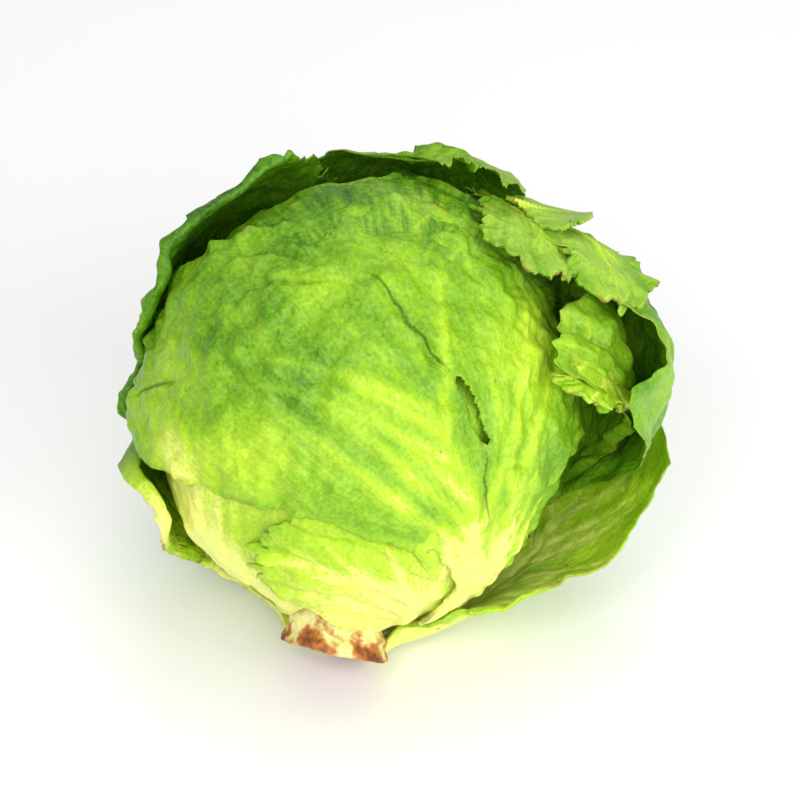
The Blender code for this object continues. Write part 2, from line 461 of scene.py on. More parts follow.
class ShaderGraph(Graph):
    """A Principled material's graph, with the few readers and mixes that the finishes use."""

    NOISE_ROUGHNESS = 0.55
    BUMP_STRENGTH = 0.60

    def __init__(self, name: str) -> None:
        """Makes the material.

        Args:
            name: The material's name.
        """
        self.material = bpy.data.materials.new(name)
        self.material.use_nodes = True
        super().__init__(self.material.node_tree)
        self.inputs = self.tree.nodes["Principled BSDF"].inputs

    def attribute(self, name: str) -> Field:
        """Reads a number that the mesh carries."""
        node = self.add("ShaderNodeAttribute", {"attribute_name": name, "attribute_type": "GEOMETRY"})
        return Field(self, node.outputs["Fac"])

    def place(self) -> bpy.types.NodeSocket:
        """Reads the object's own coordinates."""
        return self.add("ShaderNodeTexCoord").outputs["Object"]

    def flow(self, across: float, along: float) -> bpy.types.NodeSocket:
        """Reads the coordinates that run with the leaf's veins, scaled across and along them.

        Args:
            across: The scale across the veins.
            along: The scale along them.

        Returns:
            The coordinates' socket.
        """
        settings = {"attribute_name": "flow", "attribute_type": "GEOMETRY"}
        source = self.add("ShaderNodeAttribute", settings).outputs["Vector"]
        values = {0: source, 1: (across, across, along)}
        node = self.add("ShaderNodeVectorMath", {"operation": "MULTIPLY"}, values)
        return node.outputs["Vector"]

    def noise(self, where: bpy.types.NodeSocket, scale: float, detail: float = 3.0) -> Field:
        """Reads a noise centred on 0.

        Args:
            where: The coordinates.
            scale: How many bumps to a unit.
            detail: How many finer layers it has.

        Returns:
            The noise, of about -0.5 to 0.5.
        """
        values = {"Vector": where, "Scale": scale, "Detail": detail, "Roughness": self.NOISE_ROUGHNESS}
        return Field(self, self.add("ShaderNodeTexNoise", {}, values).outputs["Fac"]) - 0.5

    def cells(self, where: bpy.types.NodeSocket, scale: float, feature: str) -> bpy.types.Node:
        """Adds a cell pattern and returns its node."""
        return self.add("ShaderNodeTexVoronoi", {"feature": feature}, {"Vector": where, "Scale": scale})

    def ramp(self, tone: Field, stops: Stops) -> bpy.types.NodeSocket:
        """Turns a tone from 0 to 1 into a colour."""
        return self.add("ShaderNodeValToRGB", {"stops": stops}, {"Fac": tone.clamped()}).outputs["Color"]

    def bump(self, height: Field, distance: float) -> None:
        """Bends the normal by a height field."""
        values = {"Strength": self.BUMP_STRENGTH, "Distance": distance, "Height": height}
        self.put(self.inputs["Normal"], self.add("ShaderNodeBump", {}, values).outputs["Normal"])

    def scatter(self, weight: float, radius: Colour, scale: float) -> None:
        """Lets light pass a little way through the tissue.

        Args:
            weight: The share of the light that does.
            radius: How far each of red, green and blue goes, next to the others.
            scale: The length of a radius of 1, in metres.
        """
        for name, value in (("Weight", weight), ("Radius", radius), ("Scale", scale)):
            self.inputs[f"Subsurface {name}"].default_value = value

    def blend(self, share: Field | float, first: object, second: object) -> bpy.types.NodeSocket:
        """Mixes two colours.

        Args:
            share: How much of the second colour.
            first: A colour or a colour socket.
            second: A colour or a colour socket.

        Returns:
            The mixed colour's socket.
        """
        full = [(*c, 1.0) if isinstance(c, tuple) else c for c in (first, second)]
        values = {0: share, 6: full[0], 7: full[1]}
        node = self.add("ShaderNodeMix", {"data_type": "RGBA", "clamp_factor": True}, values)
        return node.outputs[2]


# Finishes


class Pattern(NamedTuple):
    """A noise in the tissue: its bumps to a metre across and along the veins, or all ways, and its detail."""

    across: float
    along: float | None
    detail: float

    def on(self, graph: ShaderGraph) -> Field:
        """Adds the noise to a material.

        Args:
            graph: The material's graph.

        Returns:
            The noise, centred on 0.
        """
        if self.along is None:
            return graph.noise(graph.place(), self.across, self.detail)
        return graph.noise(graph.flow(self.across, self.along), 1.0, self.detail)


@dataclass(frozen=True)
class LeafFinish:
    """Leaf tissue: green where it is thin and lit, cream at its ribs and base."""

    name: str
    deep: Colour = (0.022, 0.080, 0.003)
    blade: Colour = (0.100, 0.270, 0.006)
    fresh: Colour = (0.250, 0.480, 0.014)
    lime: Colour = (0.460, 0.680, 0.024)
    cream: Colour = (0.820, 0.860, 0.200)
    brown: Colour = (0.230, 0.125, 0.024)
    bloom_colour: Colour = (0.430, 0.590, 0.150)
    bloom: float = 0.25
    # Tone of the inner face: below 0 it is darker green, partly painted shade for the hollows it shows in;
    # above 0, as on the cup, it is painted light.
    inner_shift: float = -0.10
    mottle: float = 0.60
    veins: float = 0.26
    ribbed: float = 0.50
    browned: float = 0.8
    roughness: float = 0.40
    glow: float = 0.18

    PATCHES, PATCH_SHARE = Pattern(62.0, None, 4.0), 0.5
    DRAWN_PATCHES, DRAWN_SHARE = Pattern(135.0, 30.0, 4.0), 0.65
    CLOUD, CLOUD_TONE = Pattern(21.0, None, 2.0), 0.8
    SPECKLE, SPECKLE_TONE = Pattern(780.0, None, 4.0), 0.52
    STREAK = Pattern(430.0, 34.0, 6.0)
    FIBRE, FIBRE_TONE = Pattern(1500.0, 90.0, 2.0), 0.5
    NET, NET_TONE, NET_WIDTH = (270.0, 120.0), 0.03, 0.09
    STOPS = (0.0, 0.24, 0.50, 0.78, 1.0)
    BLOOM_MIX, BLOOM_RANGE = (0.6, 0.4), (-0.10, 0.26)
    CRACK_EDGE, CRACK_DARK = (0.00012, 0.00055), 0.9
    BROWN_RANGE = (-0.03, 0.14)
    SPECKS, SPECK_EDGE, SPECK_RARITY, SPECK_BROWN = 260.0, (0.10, 0.22), (0.955, 0.975), 0.8
    DULL_PATCHES, SHINY_RIBS = 0.25, 0.06
    RELIEF, RELIEF_DEPTH = (0.34, 0.08, 0.50, 0.15, 0.6), 0.0009
    GLOW_RADIUS, GLOW_SCALE = (0.7, 1.0, 0.15), 0.0022
    SPECULAR = 0.26

    def make(self) -> bpy.types.Material:
        """Builds the material.

        Returns:
            A Principled material that reads the leaf's own attributes.
        """
        graph = ShaderGraph(self.name)
        pale, rib, inner = (graph.attribute(name) for name in ("pale", "rib", "inner"))
        # Painted shade along creases and tears: near the line the colour is mixed towards the deep green.
        off_line = graph.attribute("crack_gap").absolute().eased(*self.CRACK_EDGE)
        crack = graph.attribute("crack") * (1.0 - off_line)
        mottle = self.PATCH_SHARE * self.PATCHES.on(graph) + self.DRAWN_SHARE * self.DRAWN_PATCHES.on(graph)
        cloud, speckle = self.CLOUD.on(graph), self.SPECKLE.on(graph)
        veined = graph.attribute("veined")
        streak, fibre = self.STREAK.on(graph) * veined, self.FIBRE.on(graph) * veined
        net = self._net(graph)
        tone = pale + self.mottle * mottle + self.CLOUD_TONE * self.mottle * cloud
        tone = tone + self.SPECKLE_TONE * speckle + self.veins * (streak + self.FIBRE_TONE * fibre)
        tone = tone + self.ribbed * rib + self.inner_shift * inner + self.NET_TONE * net
        colour = graph.ramp(tone, self._stops())
        of_mottle, of_streak = self.BLOOM_MIX
        bloom = (cloud + of_mottle * mottle + of_streak * streak).eased(*self.BLOOM_RANGE)
        bloom = bloom * self.bloom * (1.0 - inner) * (1.0 - rib)
        colour = graph.blend(bloom, colour, self.bloom_colour)
        colour = graph.blend(self._browning(graph, mottle) * self.browned, colour, self.brown)
        # Painted shade: creases and tears are darkened towards the deep green.
        graph.put(graph.inputs["Base Color"], graph.blend(crack * self.CRACK_DARK, colour, self.deep))
        roughness = self.roughness + self.DULL_PATCHES * mottle - self.SHINY_RIBS * rib
        graph.put(graph.inputs["Roughness"], roughness.clamped())
        raised = [share * relief for share, relief in zip(self.RELIEF, (streak, fibre, speckle, net, mottle))]
        graph.bump(sum(raised[1:], raised[0]), self.RELIEF_DEPTH)
        graph.scatter(self.glow, self.GLOW_RADIUS, self.GLOW_SCALE)
        graph.inputs["Specular IOR Level"].default_value = self.SPECULAR
        return graph.material

    def _stops(self) -> Stops:
        """Lists the colours from the greenest tissue to the palest."""
        tissue = (self.deep, self.blade, self.fresh, self.lime, self.cream)
        return list(zip(self.STOPS, tissue))

    def _net(self, graph: ShaderGraph) -> Field:
        """Draws the fine net of veins between the ribs."""
        cells = graph.cells(graph.flow(*self.NET), 1.0, "DISTANCE_TO_EDGE")
        return 1.0 - Field(graph, cells.outputs["Distance"]).eased(0.0, self.NET_WIDTH)

    def _browning(self, graph: ShaderGraph, mottle: Field) -> Field:
        """Finds where the tissue is browned: in places along the edge, and in rare specks.

        Args:
            graph: The material's graph.
            mottle: The patches that the edge is browned in.

        Returns:
            The share of brown.
        """
        cells = graph.cells(graph.place(), self.SPECKS, "F1")
        near = 1.0 - Field(graph, cells.outputs["Distance"]).eased(*self.SPECK_EDGE)
        red = graph.add("ShaderNodeSeparateColor", {}, {0: cells.outputs["Color"]})
        rare = Field(graph, red.outputs[0]).eased(*self.SPECK_RARITY)
        along_edge = graph.attribute("edge") * mottle.eased(*self.BROWN_RANGE)
        return (along_edge + near * rare * self.SPECK_BROWN).clamped()


@dataclass(frozen=True)
class StemFinish:
    """Cut stem tissue: cream, with rust-brown patches where the air has reached it."""

    name: str = "cut_stem"
    cream: Colour = (0.740, 0.690, 0.260)
    tan: Colour = (0.560, 0.400, 0.110)
    rust: Colour = (0.500, 0.160, 0.030)
    dark: Colour = (0.170, 0.042, 0.010)

    PATCHES, PATCH_TONE, PATCH_RELIEF = Pattern(150.0, None, 4.0), 2.3, 0.8
    GRAIN, GRAIN_TONE, GRAIN_ROUGHNESS = Pattern(520.0, None, 3.0), 0.40, 0.3
    FRESH_TONE, WORN_TONE = 0.41, 0.80
    STOPS = (0.0, 0.48, 0.60, 0.72, 1.0)
    ROUGHNESS, RELIEF_DEPTH = 0.62, 0.0008
    GLOW, GLOW_RADIUS, GLOW_SCALE = 0.12, (1.0, 0.6, 0.2), 0.0025

    def make(self) -> bpy.types.Material:
        """Builds the material.

        Returns:
            A Principled material with patches and grain.
        """
        graph = ShaderGraph(self.name)
        patch, fine = self.PATCHES.on(graph), self.GRAIN.on(graph)
        tone = self.FRESH_TONE + self.PATCH_TONE * patch + self.GRAIN_TONE * fine
        tone = tone + self.WORN_TONE * graph.attribute("worn")
        colours = (self.cream, self.cream, self.tan, self.rust, self.dark)
        graph.put(graph.inputs["Base Color"], graph.ramp(tone, list(zip(self.STOPS, colours))))
        graph.put(graph.inputs["Roughness"], (self.ROUGHNESS + self.GRAIN_ROUGHNESS * fine).clamped())
        graph.bump(fine + self.PATCH_RELIEF * patch, self.RELIEF_DEPTH)
        graph.scatter(self.GLOW, self.GLOW_RADIUS, self.GLOW_SCALE)
        return graph.material


@dataclass(frozen=True)
class FloorFinish:
    """A plain pale surface."""

    name: str = "pale_floor"
    colour: Colour = (0.93, 0.93, 0.93)
    roughness: float = 0.9

    def make(self) -> bpy.types.Material:
        """Builds the material."""
        graph = ShaderGraph(self.name)
        graph.inputs["Base Color"].default_value = (*self.colour, 1.0)
        graph.inputs["Roughness"].default_value = self.roughness
        return graph.material


# Leaf parts: ribs, creases, margins, tears


def smooth_path(
    marks: np.ndarray, slopes: np.ndarray, index: np.ndarray, t: np.ndarray, gap: np.ndarray | float = 1.0
) -> np.ndarray:
    """Runs a curve without corners through marks.

    Args:
        marks: The places to pass through.
        slopes: The curve's slope at each of them.
        index: The mark before each place to read.
        t: The share of the way to the next mark.
        gap: The distance to the next mark.

    Returns:
        The curve at each place.
    """
    start = (2 * t**3 - 3 * t**2 + 1) * marks[index] + (t**3 - 2 * t**2 + t) * gap * slopes[index]
    end = (3 * t**2 - 2 * t**3) * marks[index + 1] + (t**3 - t**2) * gap * slopes[index + 1]
    return start + end


class Rib(NamedTuple):
    """A raised vein: its course over the head and how it fades along its length."""

    course: np.ndarray
    width: tuple[float, float]
    height: tuple[float, float]
    glow: tuple[float, float]


@dataclass
class RibPlan:
    """A midrib along a course of places on the head, and the side ribs that branch from it."""

    course: tuple[Angles, ...]
    sides: tuple[int, int] = (6, 6)
    side_angle: float = 48.0
    side_length: float = 70.0
    side_turn: float = -22.0
    width: float = 0.0030
    height: float = 0.0014
    glow: float = 1.0
    side_share: float = 0.45
    jitter: float = 0.35
    seed: int = 1

    STEP = 0.8
    TIP_WIDTH = 0.3
    TIP_HEIGHT = 0.12
    TIP_GLOW = 0.3
    SIDE_TIP_WIDTH = 0.4
    SIDE_TIP_HEIGHT = 0.08
    SIDE_GLOW = 0.75
    BRANCHED = 0.9
    SPREAD_LOSS, SPREAD_JITTER = 0.35, 0.1
    LENGTH_LOSS = SIZE_LOSS = 0.40

    def _spine(self) -> list[tuple[np.ndarray, np.ndarray]]:
        """Runs a smooth line through the course, and lists each place and heading.

        Returns:
            Pairs of a unit vector and a heading.
        """
        knots = direction(*np.array(self.course, dtype=float).T)
        slopes = np.gradient(knots, axis=0)
        length = math.degrees(np.linalg.norm(np.diff(knots, axis=0), axis=1).sum())
        place = np.linspace(0.0, len(knots) - 1.0, max(int(length / self.STEP), 4))
        index = np.minimum(place.astype(int), len(knots) - 2)
        line = smooth_path(knots, slopes, index, (place - index)[:, None])
        line /= np.linalg.norm(line, axis=1, keepdims=True)
        pairs = zip(line[:-1], line[1:])
        return [(here, tangent_toward(here, ahead)) for here, ahead in pairs]

    def _walk(self, start: np.ndarray, heading: np.ndarray, length: float, turn: float) -> np.ndarray:
        """Walks over the unit sphere, turning steadily, and lists the places.

        Args:
            start: The unit vector to start from.
            heading: The way to set off.
            length: How far to go, in degrees.
            turn: How much to turn in all, in degrees.

        Returns:
            The unit vectors passed.
        """
        steps = max(int(length / self.STEP), 2)
        stride, swing = math.radians(self.STEP), math.radians(turn) / steps
        places = []
        for _ in range(steps):
            places.append(start)
            heading = math.cos(swing) * heading + math.sin(swing) * np.cross(start, heading)
            start, heading = (
                math.cos(stride) * start + math.sin(stride) * heading,
                math.cos(stride) * heading - math.sin(stride) * start,
            )
        return np.array(places)

    def ribs(self) -> list[Rib]:
        """Lays out the midrib and its side ribs.

        Returns:
            The ribs, the midrib first.
        """
        rng = np.random.default_rng(self.seed)
        spine = self._spine()
        line = np.array([place for place, _ in spine])
        midrib = (
            (self.width, self.TIP_WIDTH * self.width),
            (self.height, self.TIP_HEIGHT * self.height),
            (self.glow, self.TIP_GLOW * self.glow),
        )
        found = [Rib(line, *midrib)]
        for side, count in zip((1.0, -1.0), self.sides):
            for number in range(count):
                share = (number + 0.5 + self.jitter * rng.uniform(-1.0, 1.0)) / (count + 0.5)
                place, heading = spine[int(self.BRANCHED * share * (len(spine) - 1))]
                opening = 1.0 - self.SPREAD_LOSS * share + self.SPREAD_JITTER * rng.uniform(-1.0, 1.0)
                angle = math.radians(side * self.side_angle * opening)
                outward = math.cos(angle) * heading + math.sin(angle) * np.cross(place, heading)
                length = self.side_length * (1.0 - self.LENGTH_LOSS * share)
                walk = self._walk(place, outward, length, side * self.side_turn)
                size = self.side_share * (1.0 - self.SIZE_LOSS * share)
                width, height = size * self.width, size * self.height
                taper = ((width, self.SIDE_TIP_WIDTH * width), (height, self.SIDE_TIP_HEIGHT * height))
                found.append(Rib(walk, *taper, (self.SIDE_GLOW * self.glow, 0.0)))
        return found


class Crease(NamedTuple):
    """A dent or a lapped split along a line on the head, with painted shade along it."""

    points: tuple[Angles, ...]
    width: float
    depth: float
    lip: float = 0.0
    # How dark the painted shade along the crease is, from 0 to 1.
    dark: float = 0.0


class Blush(NamedTuple):
    """A patch that is paler, or greener where the amount is below 0."""

    place: Angles
    reach: float
    amount: float


@dataclass
class Margin:
    """How a leaf ends: lobes and teeth cut into the outline, ruffles and a lip that turns out."""

    lobe_depth: float = 0.05
    lobe_length: float = 0.024
    tooth_depth: float = 0.012
    tooth_length: float = 0.0042
    ruffle_height: float = 0.0008
    ruffle_length: float = 0.018
    lip_height: float = 0.0
    lip_start: float = 0.86
    roll_back: float = 0.0
    free_sides: tuple[float, float, float, float] = (1.0, 1.0, 0.0, 1.0)
    reach: float = 0.45

    SIDE_POWER = 8
    TOOTH_START = 0.88
    MOST_TURNED = 1.2
    ROLL_POWER = 1.5

    def freedom(self, x: np.ndarray, y: np.ndarray) -> np.ndarray:
        """Weighs how free the nearest side of the leaf is, from its left, right, lower and upper side.

        Args:
            x: The grid's x, from -1 to 1.
            y: The grid's y, from -1 to 1.

        Returns:
            A share from 0 to 1 for each place.
        """
        left, right, low, high = self.free_sides
        beside, above = (np.abs(side) ** self.SIDE_POWER + 1e-9 for side in (x, y))
        sideways, upright = np.where(x < 0.0, left, right), np.where(y < 0.0, low, high)
        return (beside * sideways + above * upright) / (beside + above)


class LeafPath(Enum):
    """Which way the stations of a leaf's outline run."""

    AROUND = "around"
    UP = "up"
    OVER = "over"


class WallNodes:
    """The node tree that turns an open leaf sheet into tissue with relief, thickness and a finish."""

    INPUTS = (
        ("Wall", "NodeSocketFloat"),
        ("Blister Height", "NodeSocketFloat"),
        ("Blister Scale", "NodeSocketFloat"),
        ("Seed", "NodeSocketFloat"),
        ("Finish", "NodeSocketMaterial"),
    )
    BLISTER = {"Detail": 2.0, "Roughness": 0.45}
    MERGE_GAP = 1e-7

    def __init__(self) -> None:
        """Builds the tree once for all leaves."""
        self.tree = bpy.data.node_groups.new("leaf wall", "GeometryNodeTree")
        face = self.tree.interface
        face.new_socket("Geometry", in_out="INPUT", socket_type="NodeSocketGeometry")
        self.keys = {
            name: face.new_socket(name, in_out="INPUT", socket_type=kind).identifier
            for name, kind in self.INPUTS
        }
        face.new_socket("Geometry", in_out="OUTPUT", socket_type="NodeSocketGeometry")
        self._build(Graph(self.tree))

    @staticmethod
    def _number(graph: Graph, name: str) -> Field:
        """Reads a number that the sheet carries."""
        node = graph.add("GeometryNodeInputNamedAttribute", {"data_type": "FLOAT"}, {"Name": name})
        return Field(graph, node.outputs["Attribute"])

    @staticmethod
    def _along_normal(graph: Graph, amount: Field) -> bpy.types.NodeSocket:
        """Scales the surface's normal by an amount.

        Args:
            graph: The tree's graph.
            amount: How far to go.

        Returns:
            The offset's socket.
        """
        normal = graph.add("GeometryNodeInputNormal").outputs["Normal"]
        node = graph.add("ShaderNodeVectorMath", {"operation": "SCALE"}, {0: normal, "Scale": amount})
        return node.outputs["Vector"]

    def _build(self, graph: Graph) -> None:
        """Adds the relief, the wall and the finish.

        Args:
            graph: The tree's graph.
        """
        given = graph.add("NodeGroupInput").outputs
        place = graph.add("GeometryNodeInputPosition").outputs[0]
        noise = graph.add(
            "ShaderNodeTexNoise",
            {"noise_dimensions": "4D"},
            {"Vector": place, "W": given["Seed"], "Scale": given["Blister Scale"], **self.BLISTER},
        )
        blister = (Field(graph, noise.outputs["Fac"]) - 0.5) * Field(graph, given["Blister Height"])
        push = self._number(graph, "relief") + blister * self._number(graph, "loose")
        values = {"Geometry": given["Geometry"], "Offset": self._along_normal(graph, push)}
        raised = graph.add("GeometryNodeSetPosition", {}, values).outputs["Geometry"]
        wall = self._number(graph, "thick") * Field(graph, given["Wall"]) * -1.0
        inset = self._along_normal(graph, wall)
        values = {"Mesh": raised, "Offset": inset, "Offset Scale": 1.0, "Individual": False}
        inward = graph.add("GeometryNodeExtrudeMesh", {"mode": "FACES"}, values).outputs
        marked = graph.add(
            "GeometryNodeStoreNamedAttribute",
            {"data_type": "FLOAT", "domain": "FACE"},
            {"Geometry": inward["Mesh"], "Selection": inward["Top"], "Name": "inner", "Value": 1.0},
        )
        turned = graph.add("GeometryNodeFlipFaces", {}, {"Mesh": marked.outputs["Geometry"]})
        both = graph.add("GeometryNodeJoinGeometry")
        graph.put(both.inputs[0], raised)
        graph.put(both.inputs[0], turned.outputs["Mesh"])
        result = both.outputs[0]
        for kind, values in (
            ("GeometryNodeMergeByDistance", {"Distance": self.MERGE_GAP}),
            ("GeometryNodeSetShadeSmooth", {}),
            ("GeometryNodeRealizeInstances", {}),
            ("GeometryNodeSetMaterial", {"Material": given["Finish"]}),
        ):
            result = graph.add(kind, {}, {"Geometry": result, **values}).outputs[0]
        graph.add("NodeGroupOutput", {}, {"Geometry": result})

    def apply(self, sheet: bpy.types.Object, name: str, values: dict[str, object]) -> bpy.types.Object:
        """Runs the tree on a sheet and keeps the result as a plain mesh.

        Args:
            sheet: The open leaf sheet.
            name: The name of the finished piece.
            values: A value for each named input.

        Returns:
            The finished piece.
        """
        modifier = sheet.modifiers.new("wall", "NODES")
        modifier.node_group = self.tree
        for key, value in values.items():
            modifier[self.keys[key]] = value
        bpy.context.view_layer.update()
        graph = bpy.context.evaluated_depsgraph_get()
        mesh = bpy.data.meshes.new_from_object(
            sheet.evaluated_get(graph), preserve_all_data_layers=True, depsgraph=graph
        )
        bpy.data.objects.remove(sheet, do_unlink=True)
        mesh.name = name
        piece = bpy.data.objects.new(name, mesh)
        bpy.context.scene.collection.objects.link(piece)
        return piece


# Leaves


class Hump(NamedTuple):
    """Weighs an angle by how near it is to a centre."""

    centre: float
    reach: float

    def at(self, angle: np.ndarray) -> np.ndarray:
        """Reads the weight of each angle."""
        return hump(angle, self.centre, self.reach)


class Rise(NamedTuple):
    """Weighs an angle by how far it is past a start, on the way to an end."""

    start: float
    end: float

    def at(self, angle: np.ndarray) -> np.ndarray:
        """Reads the weight of each angle."""
        return ease(angle, self.start, self.end)


class Facing(NamedTuple):
    """Weighs an angle by how nearly it faces a centre, between two cosines."""

    centre: float
    start: float
    end: float

    def at(self, angle: np.ndarray) -> np.ndarray:
        """Reads the weight of each angle."""
        return ease(np.cos(np.radians(angle - self.centre)), self.start, self.end)


class Line(NamedTuple):
    """A line over the head, whose azimuth grows with the square of the angle from its waist."""

    azimuth: float = 0.0
    waist: float = 0.0
    growth: float = 0.0

    def at(self, polar: np.ndarray) -> np.ndarray:
        """Reads the line's azimuth at each polar angle."""
        return self.azimuth + self.growth * (polar - self.waist) ** 2


class Bulge(NamedTuple):
    """A height in metres that a leaf gains over a range of polar angles, and of azimuths from a line."""

    height: float
    azimuth: Hump | Rise | Facing | None
    polar: Hump | Rise
    line: Line = Line()

    def at(self, polar: np.ndarray, azimuth: np.ndarray) -> np.ndarray:
        """Reads the height at each place."""
        beside = 1.0 if self.azimuth is None else self.azimuth.at(azimuth - self.line.at(polar))
        return self.height * beside * self.polar.at(polar)


@dataclass(frozen=True, kw_only=True)
class LeafSheet:
    """One sheet of tissue: an outline in degrees on the head, with its relief, margin and paleness.

    A station is a place along the path with the two sides of the outline there. Corner lifts, in metres,
    are for the sides' starts and then for their ends.
    """

    path: LeafPath = LeafPath.UP
    stations: tuple[tuple[float, float, float], ...]
    layer: float
    ribs: tuple[RibPlan, ...]
    fan: Angles
    bulges: tuple[Bulge, ...] = ()
    corner_lift: tuple[float, float, float, float] = (0.0, 0.0, 0.0, 0.0)
    cells: tuple[int, int] = (160, 160)
    margin: Margin = field(default_factory=Margin)
    corner: float = 0.55
    pale_base: float = 0.95
    pale_blade: float = 0.30
    pale_reach: float = 75.0
    wall: float = 0.0007
    blister_height: float = 0.0022
    blister_scale: float = 95.0
    crumple: float = 0.0007
    creases: tuple[Crease, ...] = ()
    tears: tuple[Crease, ...] = ()
    blushes: tuple[Blush, ...] = ()
    seed: int = 1

    SPAN = 0.068
    FLOW_REACH = 0.055
    LINE_PLACES = 180
    HELD_ZONE = (18.0, 34.0)
    PRESSED_ZONE = (0.004, 0.016)
    VEIN_ZONE = (4.0, 26.0)
    BASE_ZONE = 6.0
    EDGE_BAND = (0.955, 1.0)
    CREASE_SHADE_BAND = (0.0012, 0.0024)
    CRACK_REACH = 0.003
    LIP_FALL = 2.5
    GLOW_SPREAD = 3.0
    CRUMPLE_SCALE = 11.0
    TEAR_SCALE, TEAR_WIDTH, TEAR_RAGGED = 60.0, 0.75, 0.5
    HELD_LOOSE = 0.35
    BASE_THICK, RIB_THICK, EDGE_THIN = 1.4, 1.2, 0.45
    PALE_POWER, RIB_FADE = 0.8, 0.5

    def tissue(
        self, head: Head, walls: WallNodes, name: str, finish: bpy.types.Material
    ) -> bpy.types.Object:
        """Makes the tissue.

        Args:
            head: The ball that it lies on.
            walls: The tree that gives it relief and thickness.
            name: The object's name.
            finish: The material.

        Returns:
            The sheet, with relief and thickness.
        """
        values = {
            "Wall": self.wall,
            "Blister Height": self.blister_height,
            "Blister Scale": self.blister_scale,
            "Seed": float(self.seed),
            "Finish": finish,
        }
        return walls.apply(self._sheet(head), name, values)

    def _outline(self, place: np.ndarray) -> tuple[np.ndarray, np.ndarray]:
        """Reads the two sides of the outline at each place, through the stations without corners.

        Args:
            place: Where along the path, in degrees.

        Returns:
            The angle of the first side and of the second, in degrees.
        """
        marks = np.array(self.stations, dtype=float)
        slopes = np.gradient(marks[:, 1:], marks[:, 0], axis=0)
        index = np.clip(np.searchsorted(marks[:, 0], place) - 1, 0, len(marks) - 2)
        gap = (marks[index + 1, 0] - marks[index, 0])[..., None]
        t = (place[..., None] - marks[index, 0][..., None]) / gap
        sides = smooth_path(marks[:, 1:], slopes, index, t, gap)
        return sides[..., 0], sides[..., 1]

    def _ring_noise(self, x: np.ndarray, y: np.ndarray, length: float, seed: int) -> np.ndarray:
        """Reads noise that runs along the leaf's margin, one bump for each length.

        Args:
            x: The grid's x, from -1 to 1.
            y: The grid's y, from -1 to 1.
            length: The length of a bump, in metres.
            seed: Which of the leaf's noises.

        Returns:
            Numbers of about -1 to 1.
        """
        turn = np.arctan2(y, x)
        ring = 4.0 * self.SPAN / (math.pi * length)
        where = np.stack([ring * np.cos(turn), ring * np.sin(turn), np.full_like(turn, 0.37 * seed)], -1)
        return SmoothNoise(self.seed * 13 + seed).at(where, 2)

    def _directions(self, x: np.ndarray, y: np.ndarray) -> tuple[np.ndarray, np.ndarray, np.ndarray]:
        """Lays the square on the head: unit directions, polar angles and azimuths.

        Args:
            x: The grid's x, from -1 to 1.
            y: The grid's y, from -1 to 1.

        Returns:
            Three arrays, with a unit vector or an angle in degrees for each place.
        """
        run, cross = (x, y) if self.path is LeafPath.AROUND else (y, x)
        first, last = self.stations[0][0], self.stations[-1][0]
        place = first + (last - first) * (run + 1.0) / 2.0
        low, high = self._outline(place)
        other = low + (high - low) * (cross + 1.0) / 2.0
        if self.path is LeafPath.AROUND:
            return direction(other, place), other, place
        if self.path is LeafPath.UP:
            return direction(place, other), place, other
        side = np.radians(other)[..., None]
        left = np.array([-1.0, 0.0, 0.0])
        unit = np.cos(side) * direction(place, np.full_like(place, 180.0)) + np.sin(side) * left
        polar = np.degrees(np.arccos(np.clip(-unit[..., 2], -1.0, 1.0)))
        return unit, polar, np.degrees(np.arctan2(unit[..., 0], -unit[..., 1]))

    def _rib_relief(self, unit: np.ndarray) -> tuple[np.ndarray, np.ndarray]:
        """Raises the ribs: the height and the paleness that the nearest rib gives each place.

        Args:
            unit: Directions from the head's centre.

        Returns:
            Heights in metres, and shares.
        """
        height, glow = np.zeros(len(unit)), np.zeros(len(unit))
        for rib in (rib for plan in self.ribs for rib in plan.ribs()):
            share = np.linspace(0.0, 1.0, len(rib.course))
            gap = 2.0 - 2.0 * np.clip(unit @ rib.course.T, -1.0, 1.0)
            width = rib.width[0] + (rib.width[1] - rib.width[0]) * share
            ratio = gap * self.SPAN**2 / width**2
            best = ratio.argmin(axis=1)
            near = ratio[np.arange(len(unit)), best]
            along = share[best]
            rise = rib.height[0] + (rib.height[1] - rib.height[0]) * along
            shine = rib.glow[0] + (rib.glow[1] - rib.glow[0]) * along
            height = np.maximum(height, np.exp(-near) * rise)
            glow = np.maximum(glow, np.exp(-near / self.GLOW_SPREAD) * shine)
        return height, glow

    def _from_line(self, unit: np.ndarray, crease: Crease) -> tuple[np.ndarray, np.ndarray]:
        """Measures places from a crease: the signed gap in widths, and the share along it.

        Args:
            unit: Directions from the head's centre.
            crease: The crease.

        Returns:
            The gap, below 0 on one side of the crease, and a share from 0 to 1.
        """
        knots = direction(*np.array(crease.points, dtype=float).T)
        dense = np.linspace(0.0, len(knots) - 1.0, self.LINE_PLACES)
        line = np.stack([np.interp(dense, np.arange(len(knots)), knots[:, k]) for k in range(3)], -1)
        line /= np.linalg.norm(line, axis=1, keepdims=True)
        gap = np.sqrt(np.maximum(2.0 - 2.0 * unit @ line.T, 0.0)) * self.SPAN
        best = gap.argmin(axis=1)
        last = self.LINE_PLACES - 1
        ahead = line[np.minimum(best + 1, last)] - line[np.maximum(best - 1, 0)]
        side = np.sign(np.einsum("ij,ij->i", np.cross(line[best], ahead), unit - line[best]))
        share = best / last
        return side * gap[np.arange(len(unit)), best] / crease.width, share

